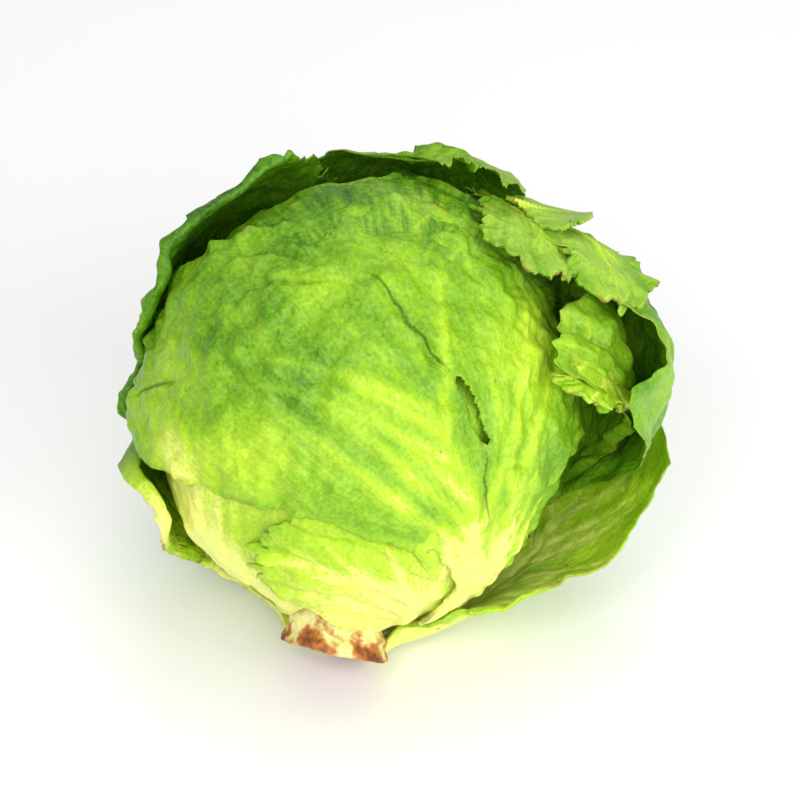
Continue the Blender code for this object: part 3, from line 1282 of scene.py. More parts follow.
    def _crease_relief(self, unit: np.ndarray) -> tuple[np.ndarray, np.ndarray, np.ndarray]:
        """Presses the creases in.

        Args:
            unit: Directions from the head's centre.

        Returns:
            The change of height, how dark the painted shade of the nearest crease is and how far to its side
            each place is.
        """
        height, dark = np.zeros(len(unit)), np.zeros(len(unit))
        aside = np.full(len(unit), 1.0)
        for crease in (*self.creases, *self.tears):
            gap, share = self._from_line(unit, crease)
            ends = np.clip(6.0 * share * (1.0 - share), 0.0, 1.0)
            height -= crease.depth * ends * np.exp(-gap * gap)
            height += crease.lip * ends * np.exp(-np.abs(gap) / self.LIP_FALL) * (gap > 0.0)
            metres = gap * crease.width
            here = np.abs(metres) < np.abs(aside)
            aside = np.where(here, metres, aside)
            # Painted shade: darkest on the line, fading over the band beside it.
            near = crease.dark * ends * (1.0 - ease(np.abs(metres), *self.CREASE_SHADE_BAND))
            dark = np.where(here, near, dark)
        return height, dark, np.clip(aside, -self.CRACK_REACH, self.CRACK_REACH)

    def _torn(self, unit: np.ndarray) -> np.ndarray:
        """Finds the places that an open tear leaves bare.

        Args:
            unit: Directions from the head's centre.

        Returns:
            True where the tissue is gone.
        """
        bare = np.zeros(len(unit), dtype=bool)
        for tear in self.tears:
            gap, share = self._from_line(unit, tear)
            ragged = self.TEAR_WIDTH + self.TEAR_RAGGED * SmoothNoise(self.seed).at(unit * self.TEAR_SCALE, 2)
            bare |= np.abs(gap) < ragged * np.sin(math.pi * np.clip(share, 0.0, 1.0)) ** 0.5
        return bare

    def _flow(self, unit: np.ndarray) -> tuple[np.ndarray, np.ndarray]:
        """Gives each place its coordinates across and along the fan of veins, and how clear the veins are.

        Args:
            unit: Directions from the head's centre.

        Returns:
            Coordinates in metres, and shares.
        """
        hub = direction(*self.fan)
        across = tangent_toward(hub, direction(90.0, self.fan[1] + 180.0))
        away = angle_from(unit, hub)
        round_hub = np.stack([unit @ across, unit @ np.cross(hub, across)], -1)
        round_hub *= self.FLOW_REACH / np.maximum(np.linalg.norm(round_hub, axis=1, keepdims=True), 1e-6)
        flow = np.concatenate([round_hub, away[:, None] * self.SPAN], -1)
        return flow, ease(np.degrees(away), *self.VEIN_ZONE)

    def _laid_out(self) -> tuple[np.ndarray, ...]:
        """Lays the grid on the square and turns its margin in, out and back.

        Returns:
            The grid's x and y, how near the edge each place is, how far the lip rises and the
            share by which each place is drawn in towards the middle.
        """
        across, along = self.cells
        x, y = np.meshgrid(np.linspace(-1.0, 1.0, across + 1), np.linspace(-1.0, 1.0, along + 1))
        x, y = x.ravel(), y.ravel()
        edge = np.maximum(np.abs(x), np.abs(y))
        margin = self.margin
        lobes = self._ring_noise(x, y, margin.lobe_length, 1)
        teeth = np.abs(self._ring_noise(x, y, margin.tooth_length, 2))
        short = margin.lobe_depth * lobes * ease(edge, 1.0 - margin.reach, 1.0)
        short = short + margin.tooth_depth * teeth * ease(edge, margin.TOOTH_START, 1.0)
        turned = (edge * (1.0 - short) - margin.lip_start) / (1.0 - margin.lip_start)
        turned = np.clip(turned, 0.0, margin.MOST_TURNED)
        freedom = margin.freedom(x, y)
        kept = (1.0 - short) * (1.0 - margin.roll_back * freedom * turned**margin.ROLL_POWER)
        return x, y, edge, margin.lip_height * freedom * turned, 1.0 - kept

    def _sheet(self, head: Head) -> bpy.types.Object:
        """Lays out the open sheet with everything that the wall and the finish read.

        Args:
            head: The ball that the leaf lies on.

        Returns:
            An object with the open sheet.
        """
        x, y, edge, lip, cut = self._laid_out()
        free_x = x * np.sqrt(1.0 - self.corner * y * y / 2.0)
        free_y = y * np.sqrt(1.0 - self.corner * x * x / 2.0)
        free = ease(self._directions(free_x, free_y)[1], *self.HELD_ZONE)
        unit, polar, azimuth = self._directions(free_x * (1.0 - cut * free), free_y * (1.0 - cut * free))
        near_edge = ease(edge, 1.0 - self.margin.reach, 1.0)
        ruffle = self.margin.ruffle_height * self._ring_noise(x, y, self.margin.ruffle_length, 3)
        ruffle = ruffle * near_edge * self.margin.freedom(x, y)
        noise = SmoothNoise(self.seed)
        own = self.crumple * noise.at(unit * self.CRUMPLE_SCALE, 2)
        above = head.radius(unit, self.layer, 0.0) * (unit @ head.axes.T)[:, 2] + head.floor_drop
        loose = ease(above, *self.PRESSED_ZONE)
        weights = [(1 - x) * (1 - y), (1 + x) * (1 - y), (1 - x) * (1 + y), (1 + x) * (1 + y)]
        lift = sum(weight * rise / 4.0 for weight, rise in zip(weights, self.corner_lift))
        bulge = sum((bulge.at(polar, azimuth) for bulge in self.bulges), np.zeros_like(polar))
        stand_off = bulge + lift + free * (ruffle + lip)
        radius = head.radius(unit, self.layer, stand_off + loose * (head.swell(unit) + own))
        rib_height, rib_glow = self._rib_relief(unit)
        # The creases' painted shade goes to the finish beside their dent.
        dent, dark, aside = self._crease_relief(unit)
        hub = direction(*self.ribs[0].course[0])
        fade = ease(np.degrees(angle_from(unit, hub)), self.BASE_ZONE, self.pale_reach)
        pale = self.pale_base + (self.pale_blade - self.pale_base) * fade**self.PALE_POWER
        for blush in self.blushes:
            spot = np.degrees(angle_from(unit, direction(*blush.place)))
            pale = pale + blush.amount * hump(spot, 0.0, blush.reach)
        flow, veined = self._flow(unit)
        numbers = {
            "relief": loose * (rib_height + dent),
            "loose": loose * (self.HELD_LOOSE + (1.0 - self.HELD_LOOSE) * fade),
            "thick": 1.0
            + self.BASE_THICK * (1.0 - fade)
            + self.RIB_THICK * rib_glow * (1.0 - near_edge)
            - self.EDGE_THIN * near_edge,
            "pale": pale,
            "rib": rib_glow * (1.0 - self.RIB_FADE * fade),
            "veined": veined,
            "edge": ease(edge, *self.EDGE_BAND) * free,
            # painted shade along creases and tears
            "crack": dark,
            "crack_gap": aside,
            "flow": flow,
        }
        return self._mesh(head.to_world(unit * radius[:, None]), numbers, ~self._torn(unit))

    def _mesh(
        self, points: np.ndarray, numbers: dict[str, np.ndarray], kept: np.ndarray
    ) -> bpy.types.Object:
        """Makes the sheet's mesh.

        Args:
            points: World places, row by row.
            numbers: Values for each place, by attribute name.
            kept: Which places have tissue.

        Returns:
            An object with the open sheet.
        """
        across, along = self.cells
        index = np.arange((across + 1) * (along + 1)).reshape(along + 1, across + 1)
        corners = [index[:-1, :-1], index[:-1, 1:], index[1:, 1:], index[1:, :-1]]
        quads = np.stack(corners, axis=-1).reshape(-1, 4)
        quads = quads[kept[quads].all(axis=1)]
        used, quads = np.unique(quads, return_inverse=True)
        numbers = {name: values[used] for name, values in numbers.items()}
        return mesh_object("sheet", points[used], quads.reshape(-1, 4).tolist(), numbers)


@dataclass(frozen=True, kw_only=True)
class Leaf(LeafSheet):
    """A whole leaf: a sheet with a finish and torn flaps, which stands for a CAD node."""

    node: str
    finish: LeafFinish
    flaps: tuple[LeafSheet, ...] = ()

    def build(self, head: Head, walls: WallNodes) -> None:
        """Makes the leaf and puts it in place of its CAD node.

        Args:
            head: The ball that it lies on.
            walls: The tree that gives it relief and thickness.
        """
        name, finish = f"{self.node}_tissue", self.finish.make()
        parts = [sheet.tissue(head, walls, name, finish) for sheet in (self, *self.flaps)]
        piece = parts[0]
        if self.flaps:
            with bpy.context.temp_override(active_object=piece, selected_editable_objects=parts):
                bpy.ops.object.join()
        self._keep_above_floor(piece)
        stand_for(piece, self.node)

    @staticmethod
    def _keep_above_floor(piece: bpy.types.Object) -> None:
        """Presses flat whatever would reach through the resting surface.

        Args:
            piece: The leaf.
        """
        points = np.empty(len(piece.data.vertices) * 3)
        piece.data.vertices.foreach_get("co", points)
        points[2::3] = np.maximum(points[2::3], 0.0)
        piece.data.vertices.foreach_set("co", points)
        piece.data.update()


# The leaves, from the innermost out. Places on the head are (polar, azimuth) in degrees.
# The pale, smooth leaf base at the lower left.
LEFT_INNER = Leaf(
    node="left_inner_leaf",
    stations=((8, -104, -8), (35, -120, 2), (60, -114, 6), (84, -98, -14)),
    layer=1,
    bulges=(Bulge(0.0018, Hump(-66, 44), Hump(36, 26)),),
    finish=LeafFinish("left_inner_tissue", bloom=0.12, mottle=0.16, veins=0.14),
    ribs=(RibPlan(((6, -50), (36, -58), (70, -62)), (4, 4), width=0.007, height=0.0012),),
    fan=(10, -50),
    pale_base=0.98,
    pale_blade=0.9,
    pale_reach=100.0,
    blister_height=0.001,
    blushes=(Blush((46, -30), 24, -0.4), Blush((34, -64), 20, 0.06)),
    seed=3,
)

# The small bright leaf over the stem, folded and frilled at its left.
BASAL = Leaf(
    node="basal_leaf",
    stations=((13, -4, 112), (22, -26, 108), (32, -33, 94), (44, -28, 76), (55, -18, 56), (66, -10, 36)),
    layer=2,
    finish=LeafFinish("basal_tissue", bloom=0.04, mottle=0.3),
    ribs=(RibPlan(((24, 78), (36, 40), (40, 0), (42, -30)), (4, 4), side_angle=30.0, side_length=46.0),),
    fan=(28, 84),
    margin=Margin(
        lobe_depth=0.15, lobe_length=0.012, tooth_depth=0.05, tooth_length=0.0052, ruffle_height=0.0016,
        ruffle_length=0.014, reach=0.35, free_sides=(1, 0, 0, 1),
    ),
    pale_base=0.92,
    pale_blade=0.6,
    pale_reach=70.0,
    creases=(
        Crease(((44, -30), (40, 0), (33, 50)), 0.0026, 0.0022),
        Crease(((53, -16), (51, 16), (42, 56)), 0.0022, 0.0018),
        Crease(((30, -34), (29, 10), (27, 60)), 0.0026, 0.0016),
        Crease(((56, 8), (54, 26), (47, 40)), 0.0016, 0.0018, 0.001, 0.5),
    ),
    blushes=(Blush((50, -26), 16, -0.14), Blush((24, 20), 22, 0.16)),
    seed=5,
)

PALE_BORDER = Line(65, waist=70.0, growth=0.033)
FRONT_MIDRIB = RibPlan(
    ((16, 78), (48, 55), (59, 46), (67, 40), (75, 34), (84, 25), (91, 18), (103, 3), (110, -10)), (7, 2),
    side_angle=34.0, side_length=105.0, side_turn=26.0, width=0.0036, height=0.0018, side_share=0.6, seed=4,
)
FRONT_SECOND_RIB = RibPlan(
    ((20, 84), (50, 66), (63, 56), (78, 51), (92, 52), (104, 57), (115, 63)), (2, 1), side_angle=26.0,
    width=0.0036, side_share=0.7,
)
FRONT_BORDER_RIB = RibPlan(
    ((30, 92), (41, 86), (50, 78), (59, 68), (71, 65), (84, 69), (94, 82)), (0, 0), width=0.0017, glow=1.2,
)

# The big leaf over the whole front, torn beside its midrib.
FRONT = Leaf(
    node="front_leaf",
    path=LeafPath.AROUND,
    stations=(
        (-100, 66, 108), (-54, 60, 130), (-28, 56, 142), (-8, 58, 152), (14, 57, 155), (40, 50, 154),
        (56, 38, 146), (72, 22, 132), (91, 15, 96),
    ),
    layer=3,
    bulges=(
        Bulge(0.0038, Hump(-90, 46), Hump(70, 24)),
        Bulge(-0.0045, Rise(0, 16), Hump(72, 34), PALE_BORDER),
        Bulge(-0.0014, Rise(20, 50), Hump(36, 26)),
    ),
    cells=(250, 180),
    finish=LeafFinish("front_tissue", bloom=0.05, mottle=0.66, veins=0.3, ribbed=0.95),
    blister_height=0.003,
    crumple=0.0014,
    ribs=(FRONT_MIDRIB, FRONT_SECOND_RIB, FRONT_BORDER_RIB),
    fan=(58, 47),
    margin=Margin(
        lobe_length=0.016, tooth_depth=0.034, tooth_length=0.0055, ruffle_height=0.0011, reach=0.3,
        free_sides=(1, 0, 1, 1),
    ),
    pale_base=0.7,
    pale_blade=0.38,
    pale_reach=84.0,
    creases=(
        Crease(((126, -7), (116, 7), (107, 16), (102, 22)), 0.0014, 0.0018, 0.0015, 0.75),
        Crease(((86, 35.5), (77, 39.5), (66, 46)), 0.0006, 0.001, 0.0004, 0.7),
        Crease(((124, -52), (134, -26), (143, 0), (146, 30)), 0.0032, 0.0028),
        Crease(((121, -56), (126, -36), (124, -18)), 0.0016, 0.002, 0.0012, 0.15),
        Crease(((112, -44), (117, -30), (119, -14)), 0.0011, 0.0014, 0.0008, 0.3),
        Crease(((80, -78), (84, -66), (86, -56)), 0.0008, 0.0012, 0.0006, 0.6),
        Crease(((80, 18), (77, 26), (71, 33)), 0.0018, 0.0008, 0, 0.1),
        Crease(((72, 68), (84, 72), (94, 82)), 0.0012, 0.0018, 0, 0.7),
    ),
    tears=(Crease(((101.5, 23), (94.5, 29.5), (86.5, 36)), 0.0016, 0.0009, 0.0007, 0.6),),
    blushes=(
        Blush((104, -38), 24, -0.12), Blush((90, -14), 20, -0.12),
        Blush((96, 4), 12, 0.1), Blush((118, -20), 14, 0.1), Blush((72, -26), 20, 0.28),
        Blush((97, -18), 18, -0.05), Blush((66, 28), 11, -0.3),
        Blush((82, -58), 34, 0.16), Blush((80, 6), 12, -0.12),
        Blush((130, -30), 16, -0.1), Blush((112, 50), 24, 0.12),
        Blush((64, -48), 20, 0.42), Blush((112, 24), 16, 0.1), Blush((116, 50), 22, 0.16),
        Blush((126, 0), 30, 0.13), Blush((96, 50), 14, 0.1),
    ),
    seed=7,
)

# The leaf that closes over the crown, behind the front leaf's upper edge.
CROWN_INNER = Leaf(
    node="crown_inner_leaf",
    path=LeafPath.AROUND,
    stations=((-78, 112, 150), (-40, 122, 168), (0, 128, 176), (40, 126, 174), (80, 118, 150)),
    layer=2,
    bulges=(Bulge(0.0038, Rise(-62, -24), Rise(124, 160)),),
    cells=(170, 90),
    finish=LeafFinish("crown_tissue", veins=0.5),
    ribs=(RibPlan(((95, 10), (130, 8), (165, 5)), (5, 5), width=0.0016, height=0.0008),),
    fan=(95, 10),
    margin=Margin(lobe_length=0.016, tooth_depth=0.02, lip_height=0.002, free_sides=(0, 1, 0, 1)),
    pale_base=0.4,
    pale_blade=0.26,
    seed=9,
)

# The wrapper on the left: a pale curled rib below and a dark ragged hood above.
LEFT_WRAPPER = Leaf(
    node="left_wrapper_leaf",
    stations=(
        (10, -150, -140), (26, -178, -134), (34, -186, -120), (40, -189, -90), (45, -191, -62),
        (52, -194, -50), (59, -196, -52), (67, -197, -80), (76, -198, -94), (86, -198, -90),
        (95, -198, -74), (104, -198, -67), (122, -196, -60), (136, -194, -55), (150, -190, -48),
        (165, -160, -26),
    ),
    layer=4,
    bulges=(
        Bulge(0.0012, Hump(-90, 46), Hump(70, 24)),
        Bulge(0.0046, Rise(-120, -78), Rise(108, 134)),
    ),
    cells=(190, 210),
    # Its inner face is a little darker, partly as painted shade in the hood.
    finish=LeafFinish("left_wrapper_tissue", inner_shift=-0.09, bloom=0.12),
    ribs=(
        RibPlan(
            ((12, -126), (50, -130), (90, -132), (140, -134)), (9, 9), width=0.0045, height=0.0022,
            side_length=90.0, side_turn=14.0, seed=6,
        ),
    ),
    fan=(12, -126),
    margin=Margin(
        lobe_depth=0.045, lobe_length=0.014, tooth_depth=0.085, tooth_length=0.0072, ruffle_height=0.0034,
        ruffle_length=0.013, lip_height=0.0036, roll_back=0.16, free_sides=(0, 1, 0, 0.5),
    ),
    pale_reach=66.0,
    blushes=(Blush((50, -62), 30, 0.75), Blush((96, -80), 24, 0.1)),
    seed=12,
)

HOOD = Bulge(0.022, Hump(80, 48), Hump(112, 52))
UNDER_HOOD = HOOD._replace(height=0.6 * HOOD.height)

# A torn strip of the inner leaf that hangs under its lobes.
UNDER_LOBES = LeafSheet(
    stations=((100, 60, 72), (103, 54, 78), (107, 53, 82), (112, 58, 84)),
    layer=3,
    bulges=(UNDER_HOOD,),
    corner=0.2,
    corner_lift=(0.004, 0.006, -0.001, 0),
    cells=(90, 50),
    ribs=(RibPlan(((112, 70), (106, 66), (101, 64)), (2, 2), width=0.001, height=0.0004),),
    fan=(114, 70),
    margin=Margin(
        lobe_depth=0.22, lobe_length=0.016, tooth_depth=0.05, tooth_length=0.006, ruffle_height=0.0025,
        ruffle_length=0.012, free_sides=(1, 1, 1, 0),
    ),
    pale_base=0.62,
    pale_blade=0.55,
    seed=16,
)

# The bright lobed leaf under the hood.
UPPER_RIGHT_INNER = Leaf(
    node="upper_right_inner_leaf",
    stations=(
        (34, 118, 144), (60, 118, 144), (84, 110, 142), (95, 90, 138), (102, 68, 136), (107, 55, 136),
        (113, 53, 134), (119, 51, 134), (123, 53, 132), (127, 68, 128),
    ),
    layer=4,
    bulges=(UNDER_HOOD,),
    corner=0.15,
    cells=(150, 170),
    finish=LeafFinish("upper_right_inner_tissue", mottle=0.4, bloom=0.1),
    ribs=(
        RibPlan(
            ((20, 104), (70, 92), (108, 66), (118, 52)), (7, 7), width=0.002, height=0.0012,
            side_length=50.0,
        ),
    ),
    fan=(60, 96),
    margin=Margin(
        lobe_depth=0.17, lobe_length=0.015, tooth_depth=0.045, tooth_length=0.005, ruffle_height=0.0034,
        ruffle_length=0.012, lip_height=0.002, free_sides=(1, 0, 0, 0),
    ),
    pale_blade=0.42,
    crumple=0.0014,
    creases=(
        Crease(((121, 52), (117, 62), (112, 72)), 0.002, 0.003, 0.002, 0.2),
        Crease(((112, 56), (110, 62), (109, 70)), 0.0014, 0.001),
    ),
    flaps=(UNDER_LOBES,),
    seed=15,
)

# A torn tongue of the hood that hangs over its outside.
OUTER_FLAP = LeafSheet(
    stations=((120, 58, 70), (124, 54, 78), (132, 56, 84), (144, 64, 92)),
    layer=5,
    bulges=(HOOD,),
    corner=0.3,
    corner_lift=(0.0045, 0.004, 0.0005, 0.0005),
    cells=(80, 80),
    ribs=(
        RibPlan(((144, 78), (132, 70), (122, 63)), (3, 3), side_angle=30.0, side_length=16.0, width=0.001),
    ),
    fan=(150, 80),
    margin=Margin(
        lobe_depth=0.2, lobe_length=0.022, tooth_depth=0.08, tooth_length=0.01, ruffle_height=0.0034,
        free_sides=(1, 1, 1, 0),
    ),
    pale_base=0.42,
    pale_blade=0.48,
    seed=19,
)

# The lobed fold of the hood that hangs forward over the front leaf.
FORE_LOBES = LeafSheet(
    stations=((127, 44, 60), (131, 41, 68), (138, 36, 74), (147, 36, 76), (156, 42, 76)),
    layer=5,
    bulges=(HOOD,),
    corner=0.25,
    corner_lift=(0.0022, 0.0012, 0, 0.0006),
    cells=(90, 80),
    ribs=(
        RibPlan(((154, 70), (143, 60), (134, 50)), (3, 3), side_angle=34.0, side_length=18.0, width=0.001),
    ),
    fan=(158, 76),
    margin=Margin(
        lobe_depth=0.2, lobe_length=0.022, tooth_depth=0.09, tooth_length=0.01, ruffle_height=0.0022,
        ruffle_length=0.022, reach=0.6, free_sides=(1, 0.2, 1, 1),
    ),
    pale_base=0.4,
    pale_blade=0.34,
    seed=22,
)

# The pointed corner where the hood folds out at the top.
HOOD_TIP = LeafSheet(
    stations=((139, 58, 66), (142, 57, 84), (146, 60, 92), (154, 62, 90)),
    layer=5,
    bulges=(HOOD,),
    corner=0.0,
    corner_lift=(0.003, 0.009, 0.003, 0.006),
    cells=(70, 50),
    ribs=(
        RibPlan(((152, 60), (147, 70), (143, 80)), (2, 2), side_angle=30.0, side_length=16.0, width=0.001),
    ),
    fan=(152, 50),
    margin=Margin(
        lobe_depth=0.1, lobe_length=0.03, tooth_depth=0.06, tooth_length=0.012, ruffle_height=0.001,
        ruffle_length=0.03, free_sides=(1, 1, 1, 0),
    ),
    pale_base=0.42,
    pale_blade=0.36,
    seed=20,
)

# The hood: a ragged wrapper that folds forward over the head's upper right.
UPPER_RIGHT_WRAPPER = Leaf(
    node="upper_right_wrapper_leaf",
    stations=(
        (14, 120, 156), (60, 120, 166), (78, 112, 166), (88, 90, 166), (94, 72, 164), (101, 65, 164),
        (107, 68, 164), (113, 72, 162), (118, 67, 162), (121, 61, 162), (125, 58, 160), (129, 59, 160),
        (134, 57, 162), (142, 53, 164), (150, 52, 166), (158, 52, 164), (163, 56, 158),
    ),
    layer=5,
    bulges=(HOOD,),
    corner=0.25,
    cells=(150, 180),
    finish=LeafFinish("upper_right_wrapper_tissue", bloom=0.3, mottle=0.8),
    blister_height=0.0034,
    crumple=0.0016,
    ribs=(
        RibPlan(
            ((14, 118), (60, 114), (100, 112), (150, 104)), (10, 10), width=0.004, height=0.002,
            side_length=80.0, side_turn=10.0, side_share=0.5, seed=8,
        ),
    ),
    fan=(60, 112),
    margin=Margin(
        lobe_depth=0.105, lobe_length=0.013, tooth_depth=0.04, tooth_length=0.0048, ruffle_height=0.005,
        ruffle_length=0.013, lip_height=0.0012, reach=0.4, free_sides=(1, 0, 0, 0.4),
    ),
    pale_blade=0.36,
    flaps=(OUTER_FLAP, FORE_LOBES, HOOD_TIP),
    seed=18,
)

# The cup at the lower right, seen on its shaded inner face; its inner face and blade are painted paler, as
# painted light against that shade.
LOWER_RIGHT_WRAPPER = Leaf(
    node="lower_right_wrapper_leaf",
    stations=(
        (15, 106, 146), (22, 95, 156), (29, 80, 160), (38, 78, 166), (50, 82, 170), (62, 86, 170),
        (75, 88, 168), (91, 87, 160), (106, 104, 146),
    ),
    layer=6,
    bulges=(
        Bulge(0.021, Hump(86, 44), Hump(93, 52)),
        Bulge(-0.0060, Rise(112, 96), Rise(56, 26)),
    ),
    cells=(210, 180),
    corner=0.35,
    # Painted light: the inner face is raised well above the usual tone to offset the cup's shade.
    finish=LeafFinish("lower_right_wrapper_tissue", inner_shift=0.22, bloom=0.2, mottle=0.42, ribbed=0.55),
    ribs=(
        RibPlan(
            ((14, 112), (50, 112), (90, 114)), (8, 8), width=0.004, height=0.002, side_length=80.0,
            side_turn=12.0, seed=10,
        ),
    ),
    fan=(16, 96),
    margin=Margin(
        lobe_depth=0.03, lobe_length=0.017, tooth_depth=0.04, tooth_length=0.0045, ruffle_height=0.0022,
        ruffle_length=0.015, reach=0.4, free_sides=(1, 0, 0, 0.6),
    ),
    pale_base=0.62,
    # Painted light: the blade is paler than on the other wrappers, to offset the cup's shade.
    pale_blade=0.46,
    pale_reach=96.0,
    seed=21,
)

# The wrapper that the head lies on, whose tip is the ragged flap on the crown.
BACK_WRAPPER = Leaf(
    node="back_wrapper_leaf",
    path=LeafPath.OVER,
    stations=(
        (12, -10, 2), (40, -32, 8), (80, -40, 42), (120, -36, 46), (150, -28, 30), (172, -27, 22),
        (184, -26, 16), (190, -26, 0), (198, -25, -6),
    ),
    layer=7,
    bulges=(
        Bulge(0.0050, Facing(80, 0.2, 0.9), Rise(136, 156)),
        Bulge(-0.0004, None, Rise(136, 156)),
    ),
    cells=(160, 240),
    corner=0.15,
    finish=LeafFinish("back_wrapper_tissue", bloom=0.45),
    ribs=(
        RibPlan(
            ((14, 176), (60, 177), (110, 178), (160, 178)), (10, 10), width=0.0045, height=0.0024,
            side_length=60.0, side_turn=12.0, seed=13,
        ),
    ),
    fan=(14, 176),
    margin=Margin(
        lobe_depth=0.075, lobe_length=0.015, tooth_depth=0.018, tooth_length=0.0036, ruffle_height=0.002,
        ruffle_length=0.014, free_sides=(0.3, 0.3, 0, 1),
    ),
    pale_blade=0.32,
    blushes=(Blush((166, 40), 24, 0.12),),
    seed=24,
)

LEAVES = (
    LEFT_INNER, BASAL, FRONT, CROWN_INNER, LEFT_WRAPPER, UPPER_RIGHT_INNER, UPPER_RIGHT_WRAPPER,
    LOWER_RIGHT_WRAPPER, BACK_WRAPPER,
)


# Heart and stem


@dataclass
class Heart:
    """The tight ball of inner leaves."""

    head: Head
    segments: int = 150
    rings: int = 90
    fold_height: float = 0.0009
    fold_width: float = 0.35
    fold_scale: tuple[float, float, float] = (2.6, 2.6, 1.2)
    tear: Angles = (94.0, 30.0)
    bulge: float = 0.0042
    bulge_reach: float = 24.0
    veins: float = 0.6
    flow_scale: tuple[float, float] = (0.055, 0.06)
    # The heart's tone, paler towards the stem; it is kept dark overall as painted shade for the gaps and the
    # tear where it shows.
    middle_pale: float = 0.46
    pale_rise: float = 0.40

    def build(self) -> None:
        """Makes the heart in place of its CAD node."""
        polar, azimuth = np.meshgrid(
            np.linspace(0.0, 180.0, self.rings + 1)[1:-1],
            np.linspace(-180.0, 180.0, self.segments, endpoint=False),
            indexing="ij",
        )
        start, end = (direction(pole, 0.0)[None] for pole in (0.0, 180.0))
        unit = np.concatenate([start, direction(polar, azimuth).reshape(-1, 3), end])
        folds = np.abs(SmoothNoise(31).at(unit * np.array(self.fold_scale), 3))
        under_tear = np.degrees(angle_from(unit, direction(*self.tear)))
        lift = self.head.swell(unit) - self.fold_height * (1.0 - ease(folds, 0.0, self.fold_width))
        lift = lift + self.bulge * hump(under_tear, 0.0, self.bulge_reach)
        height = unit[:, 2]
        round_axis, along_axis = self.flow_scale
        numbers = {
            "veined": np.full(len(unit), self.veins),
            # Painted shade: a low tone, so the heart reads dark through gaps and the tear.
            "pale": self.middle_pale - self.pale_rise * height,
            "flow": np.column_stack([unit[:, :2] * round_axis, np.arccos(-height) * along_axis]),
        }
        points = self.head.to_world(unit * self.head.radius(unit, 0, lift)[:, None])
        faces = ring_faces(self.rings - 1, self.segments, 1, (0, len(unit) - 1))
        piece = mesh_object("heart_tissue", points, faces, numbers)
        dress(piece, LeafFinish("heart_tissue", bloom=0.1).make())
        stand_for(piece, "heart")


@dataclass
class Stem:
    """The cut stump, with ridges where leaves were stripped and browning towards the cut."""

    head: Head
    radius: float = 0.0152
    waist: float = 0.0140
    cut_radius: float = 0.0154
    cut_depth: float = 0.0732
    sunk: float = 0.001
    offset: float = 0.0042
    lean: float = 0.0046
    around: int = 180
    rows: int = 70
    side_share: float = 0.62
    wobble: float = 0.075
    grain: float = 0.0003
    scar_height: float = 0.0011
    cut_relief: float = 0.0006
    cut_dome: float = 0.0004
    least_height: float = 0.0002
    worn: float = 0.55
    worn_middle: float = 0.5
    worn_wobble: float = 0.12

    TURN_SCALE, HEIGHT_SCALE = 1.6, 180.0
    GRAIN_SCALE = (4.0, 4.0, 1.5)
    SCARS = ((1.0, 0.18, 0.07), (0.8, 0.36, 0.06))
    SCAR_SCALE, SCAR_RANGE = 0.6, (-0.15, 0.25)
    CUT_SCALE, CUT_RANGE = 1.4, (0.3, 0.8)
    WORN_RANGE = (0.25, 0.75)
    WAIST = (0.3, 0.3)
    FLARE_RANGE = (0.40, 0.60)
    CUT_REACH = 0.97

    def build(self) -> None:
        """Makes the stump in place of its CAD node."""
        share = np.linspace(0.0, 1.0, self.rows)
        top, cut = self.sunk - self.head.height, -self.cut_depth
        turn = np.linspace(0.0, 2.0 * math.pi, self.around, endpoint=False)
        radius, height, turn = np.broadcast_arrays(*self._profile(share[:, None], top, cut), turn)
        noise = SmoothNoise(41)
        around = [np.cos(turn) * self.TURN_SCALE, np.sin(turn) * self.TURN_SCALE]
        where = np.stack([*around, height * self.HEIGHT_SCALE], -1)
        wobble = noise.at(where, 3)
        fine = noise.at(where * np.array(self.GRAIN_SCALE) + 5.0, 2)
        scars = sum(size * hump(share, place, reach) for size, place, reach in self.SCARS)
        scars = scars[:, None] * ease(noise.at(where * self.SCAR_SCALE + 3.0, 2), *self.SCAR_RANGE)
        radius = radius * (1.0 + self.wobble * wobble) + self.grain * fine + self.scar_height * scars
        near_cut = ease(share, *self.CUT_RANGE)[:, None]
        height = height + self.cut_relief * noise.at(where * self.CUT_SCALE + 11.0, 2) * near_cut
        middle = self.offset + self.lean * (top - height) / (top - cut)
        side = np.stack([middle + radius * np.cos(turn), radius * np.sin(turn), height], -1)
        ends = [[self.offset, 0.0, top], [self.offset + self.lean, 0.0, cut + self.cut_dome]]
        points = self.head.to_world(np.concatenate([side.reshape(-1, 3), ends]))
        points[:, 2] = np.maximum(points[:, 2], self.least_height)
        worn = self.worn * ease(share, *self.WORN_RANGE)[:, None] + self.worn_wobble * wobble
        count = self.rows * self.around
        faces = ring_faces(self.rows, self.around, 0, (count, count + 1), turned=True)
        numbers = {"worn": np.concatenate([worn.ravel(), [0.0, self.worn_middle]])}
        piece = mesh_object("stem_tissue", points, faces, numbers)
        dress(piece, StemFinish().make())
        stand_for(piece, "stem")

    def _profile(self, share: np.ndarray, top: float, cut: float) -> tuple[np.ndarray, np.ndarray]:
        """Gives the radius and height down the side and in across the cut face.

        Args:
            share: Places from the top, 0, to the middle of the cut face, 1.
            top: The height of the top.
            cut: The height of the cut face.

        Returns:
            The radius and the height at each place.
        """
        waist = self.radius + (self.waist - self.radius) * hump(share, *self.WAIST)
        flared = ease(share, *self.FLARE_RANGE) * ease(share, 0.0, self.FLARE_RANGE[1])
        radius = waist + (self.cut_radius - self.waist) * flared
        inward = np.clip((share - self.side_share) / (1.0 - self.side_share), 0.0, 1.0)
        height = top + (cut - top) * np.clip(share / self.side_share, 0.0, 1.0)
        return radius * (1.0 - self.CUT_REACH * inward), height


# Stage


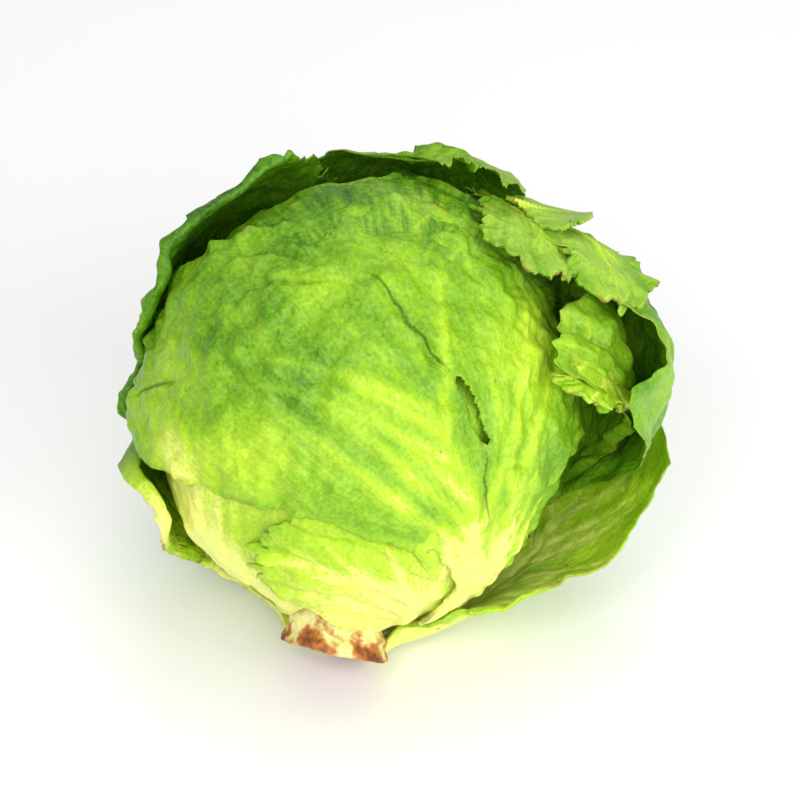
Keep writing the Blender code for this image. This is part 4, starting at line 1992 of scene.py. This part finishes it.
class Lamp(NamedTuple):
    """A soft square light that faces the head: its place and side in metres, its power in watts."""

    name: str
    place: tuple[float, float, float]
    size: float
    power: float

    def hang(self, target: Vector) -> None:
        """Adds the light to the scene.

        Args:
            target: The place to face.
        """
        light = bpy.data.lights.new(self.name, "AREA")
        light.size, light.energy = self.size, self.power
        lamp = bpy.data.objects.new(self.name, light)
        lamp.location = self.place
        lamp.rotation_euler = (target - lamp.location).to_track_quat("-Z", "Y").to_euler()
        bpy.context.scene.collection.objects.link(lamp)


@dataclass
class Studio:
    """Pale floor, soft lights and the camera."""

    elevation: float = 36.0
    distance: float = 1.05
    frame_width: float = 0.2384
    target: Vector = field(default_factory=lambda: Vector((0.0, 0.0, 0.0686)))
    floor_size: float = 6.0
    world_light: float = 0.46
    sensor: float = 36.0

    LAMPS = (
        Lamp("key", (-0.40, -0.95, 1.00), 0.50, 6.2),
        Lamp("fill", (0.80, -0.85, 0.55), 0.80, 9.0),
        Lamp("front", (0.14, -1.15, 0.78), 0.50, 4.4),
        Lamp("top", (0.10, 0.35, 1.30), 0.90, 5.6),
    )

    def build(self) -> None:
        """Sets the stage."""
        self._floor()
        self._world()
        for lamp in self.LAMPS:
            lamp.hang(self.target)
        self._camera()
        bpy.context.scene.view_settings.view_transform = "Standard"
        LOG.info("studio ready")

    def _floor(self) -> None:
        """Lays the floor under the head."""
        bpy.ops.mesh.primitive_plane_add(size=self.floor_size, location=(0.0, 0.0, 0.0))
        floor = bpy.context.active_object
        floor.name = "floor"
        floor.data.materials.append(FloorFinish().make())

    def _world(self) -> None:
        """Fills the room with even white light."""
        world = bpy.data.worlds.new("studio")
        world.use_nodes = True
        background = world.node_tree.nodes["Background"]
        background.inputs["Color"].default_value = (1.0, 1.0, 1.0, 1.0)
        background.inputs["Strength"].default_value = self.world_light
        bpy.context.scene.world = world

    def _camera(self) -> None:
        """Looks at the head from the front and above with a long lens."""
        data = bpy.data.cameras.new("camera")
        data.sensor_width = self.sensor
        data.lens = self.sensor * self.distance / self.frame_width
        camera = bpy.data.objects.new("camera", data)
        tilt = math.radians(self.elevation)
        back = Vector((0.0, -math.cos(tilt), math.sin(tilt))) * self.distance
        camera.location = self.target + back
        camera.rotation_euler = (-back).to_track_quat("-Z", "Y").to_euler()
        bpy.context.scene.collection.objects.link(camera)
        bpy.context.scene.camera = camera


def main() -> None:
    """Builds the head and its stage."""
    logging.basicConfig(level=logging.INFO, format="%(message)s")
    head = Head()
    Heart(head).build()
    Stem(head).build()
    walls = WallNodes()
    for leaf in LEAVES:
        leaf.build(head, walls)
    Studio().build()


if __name__ == "__main__":
    main()
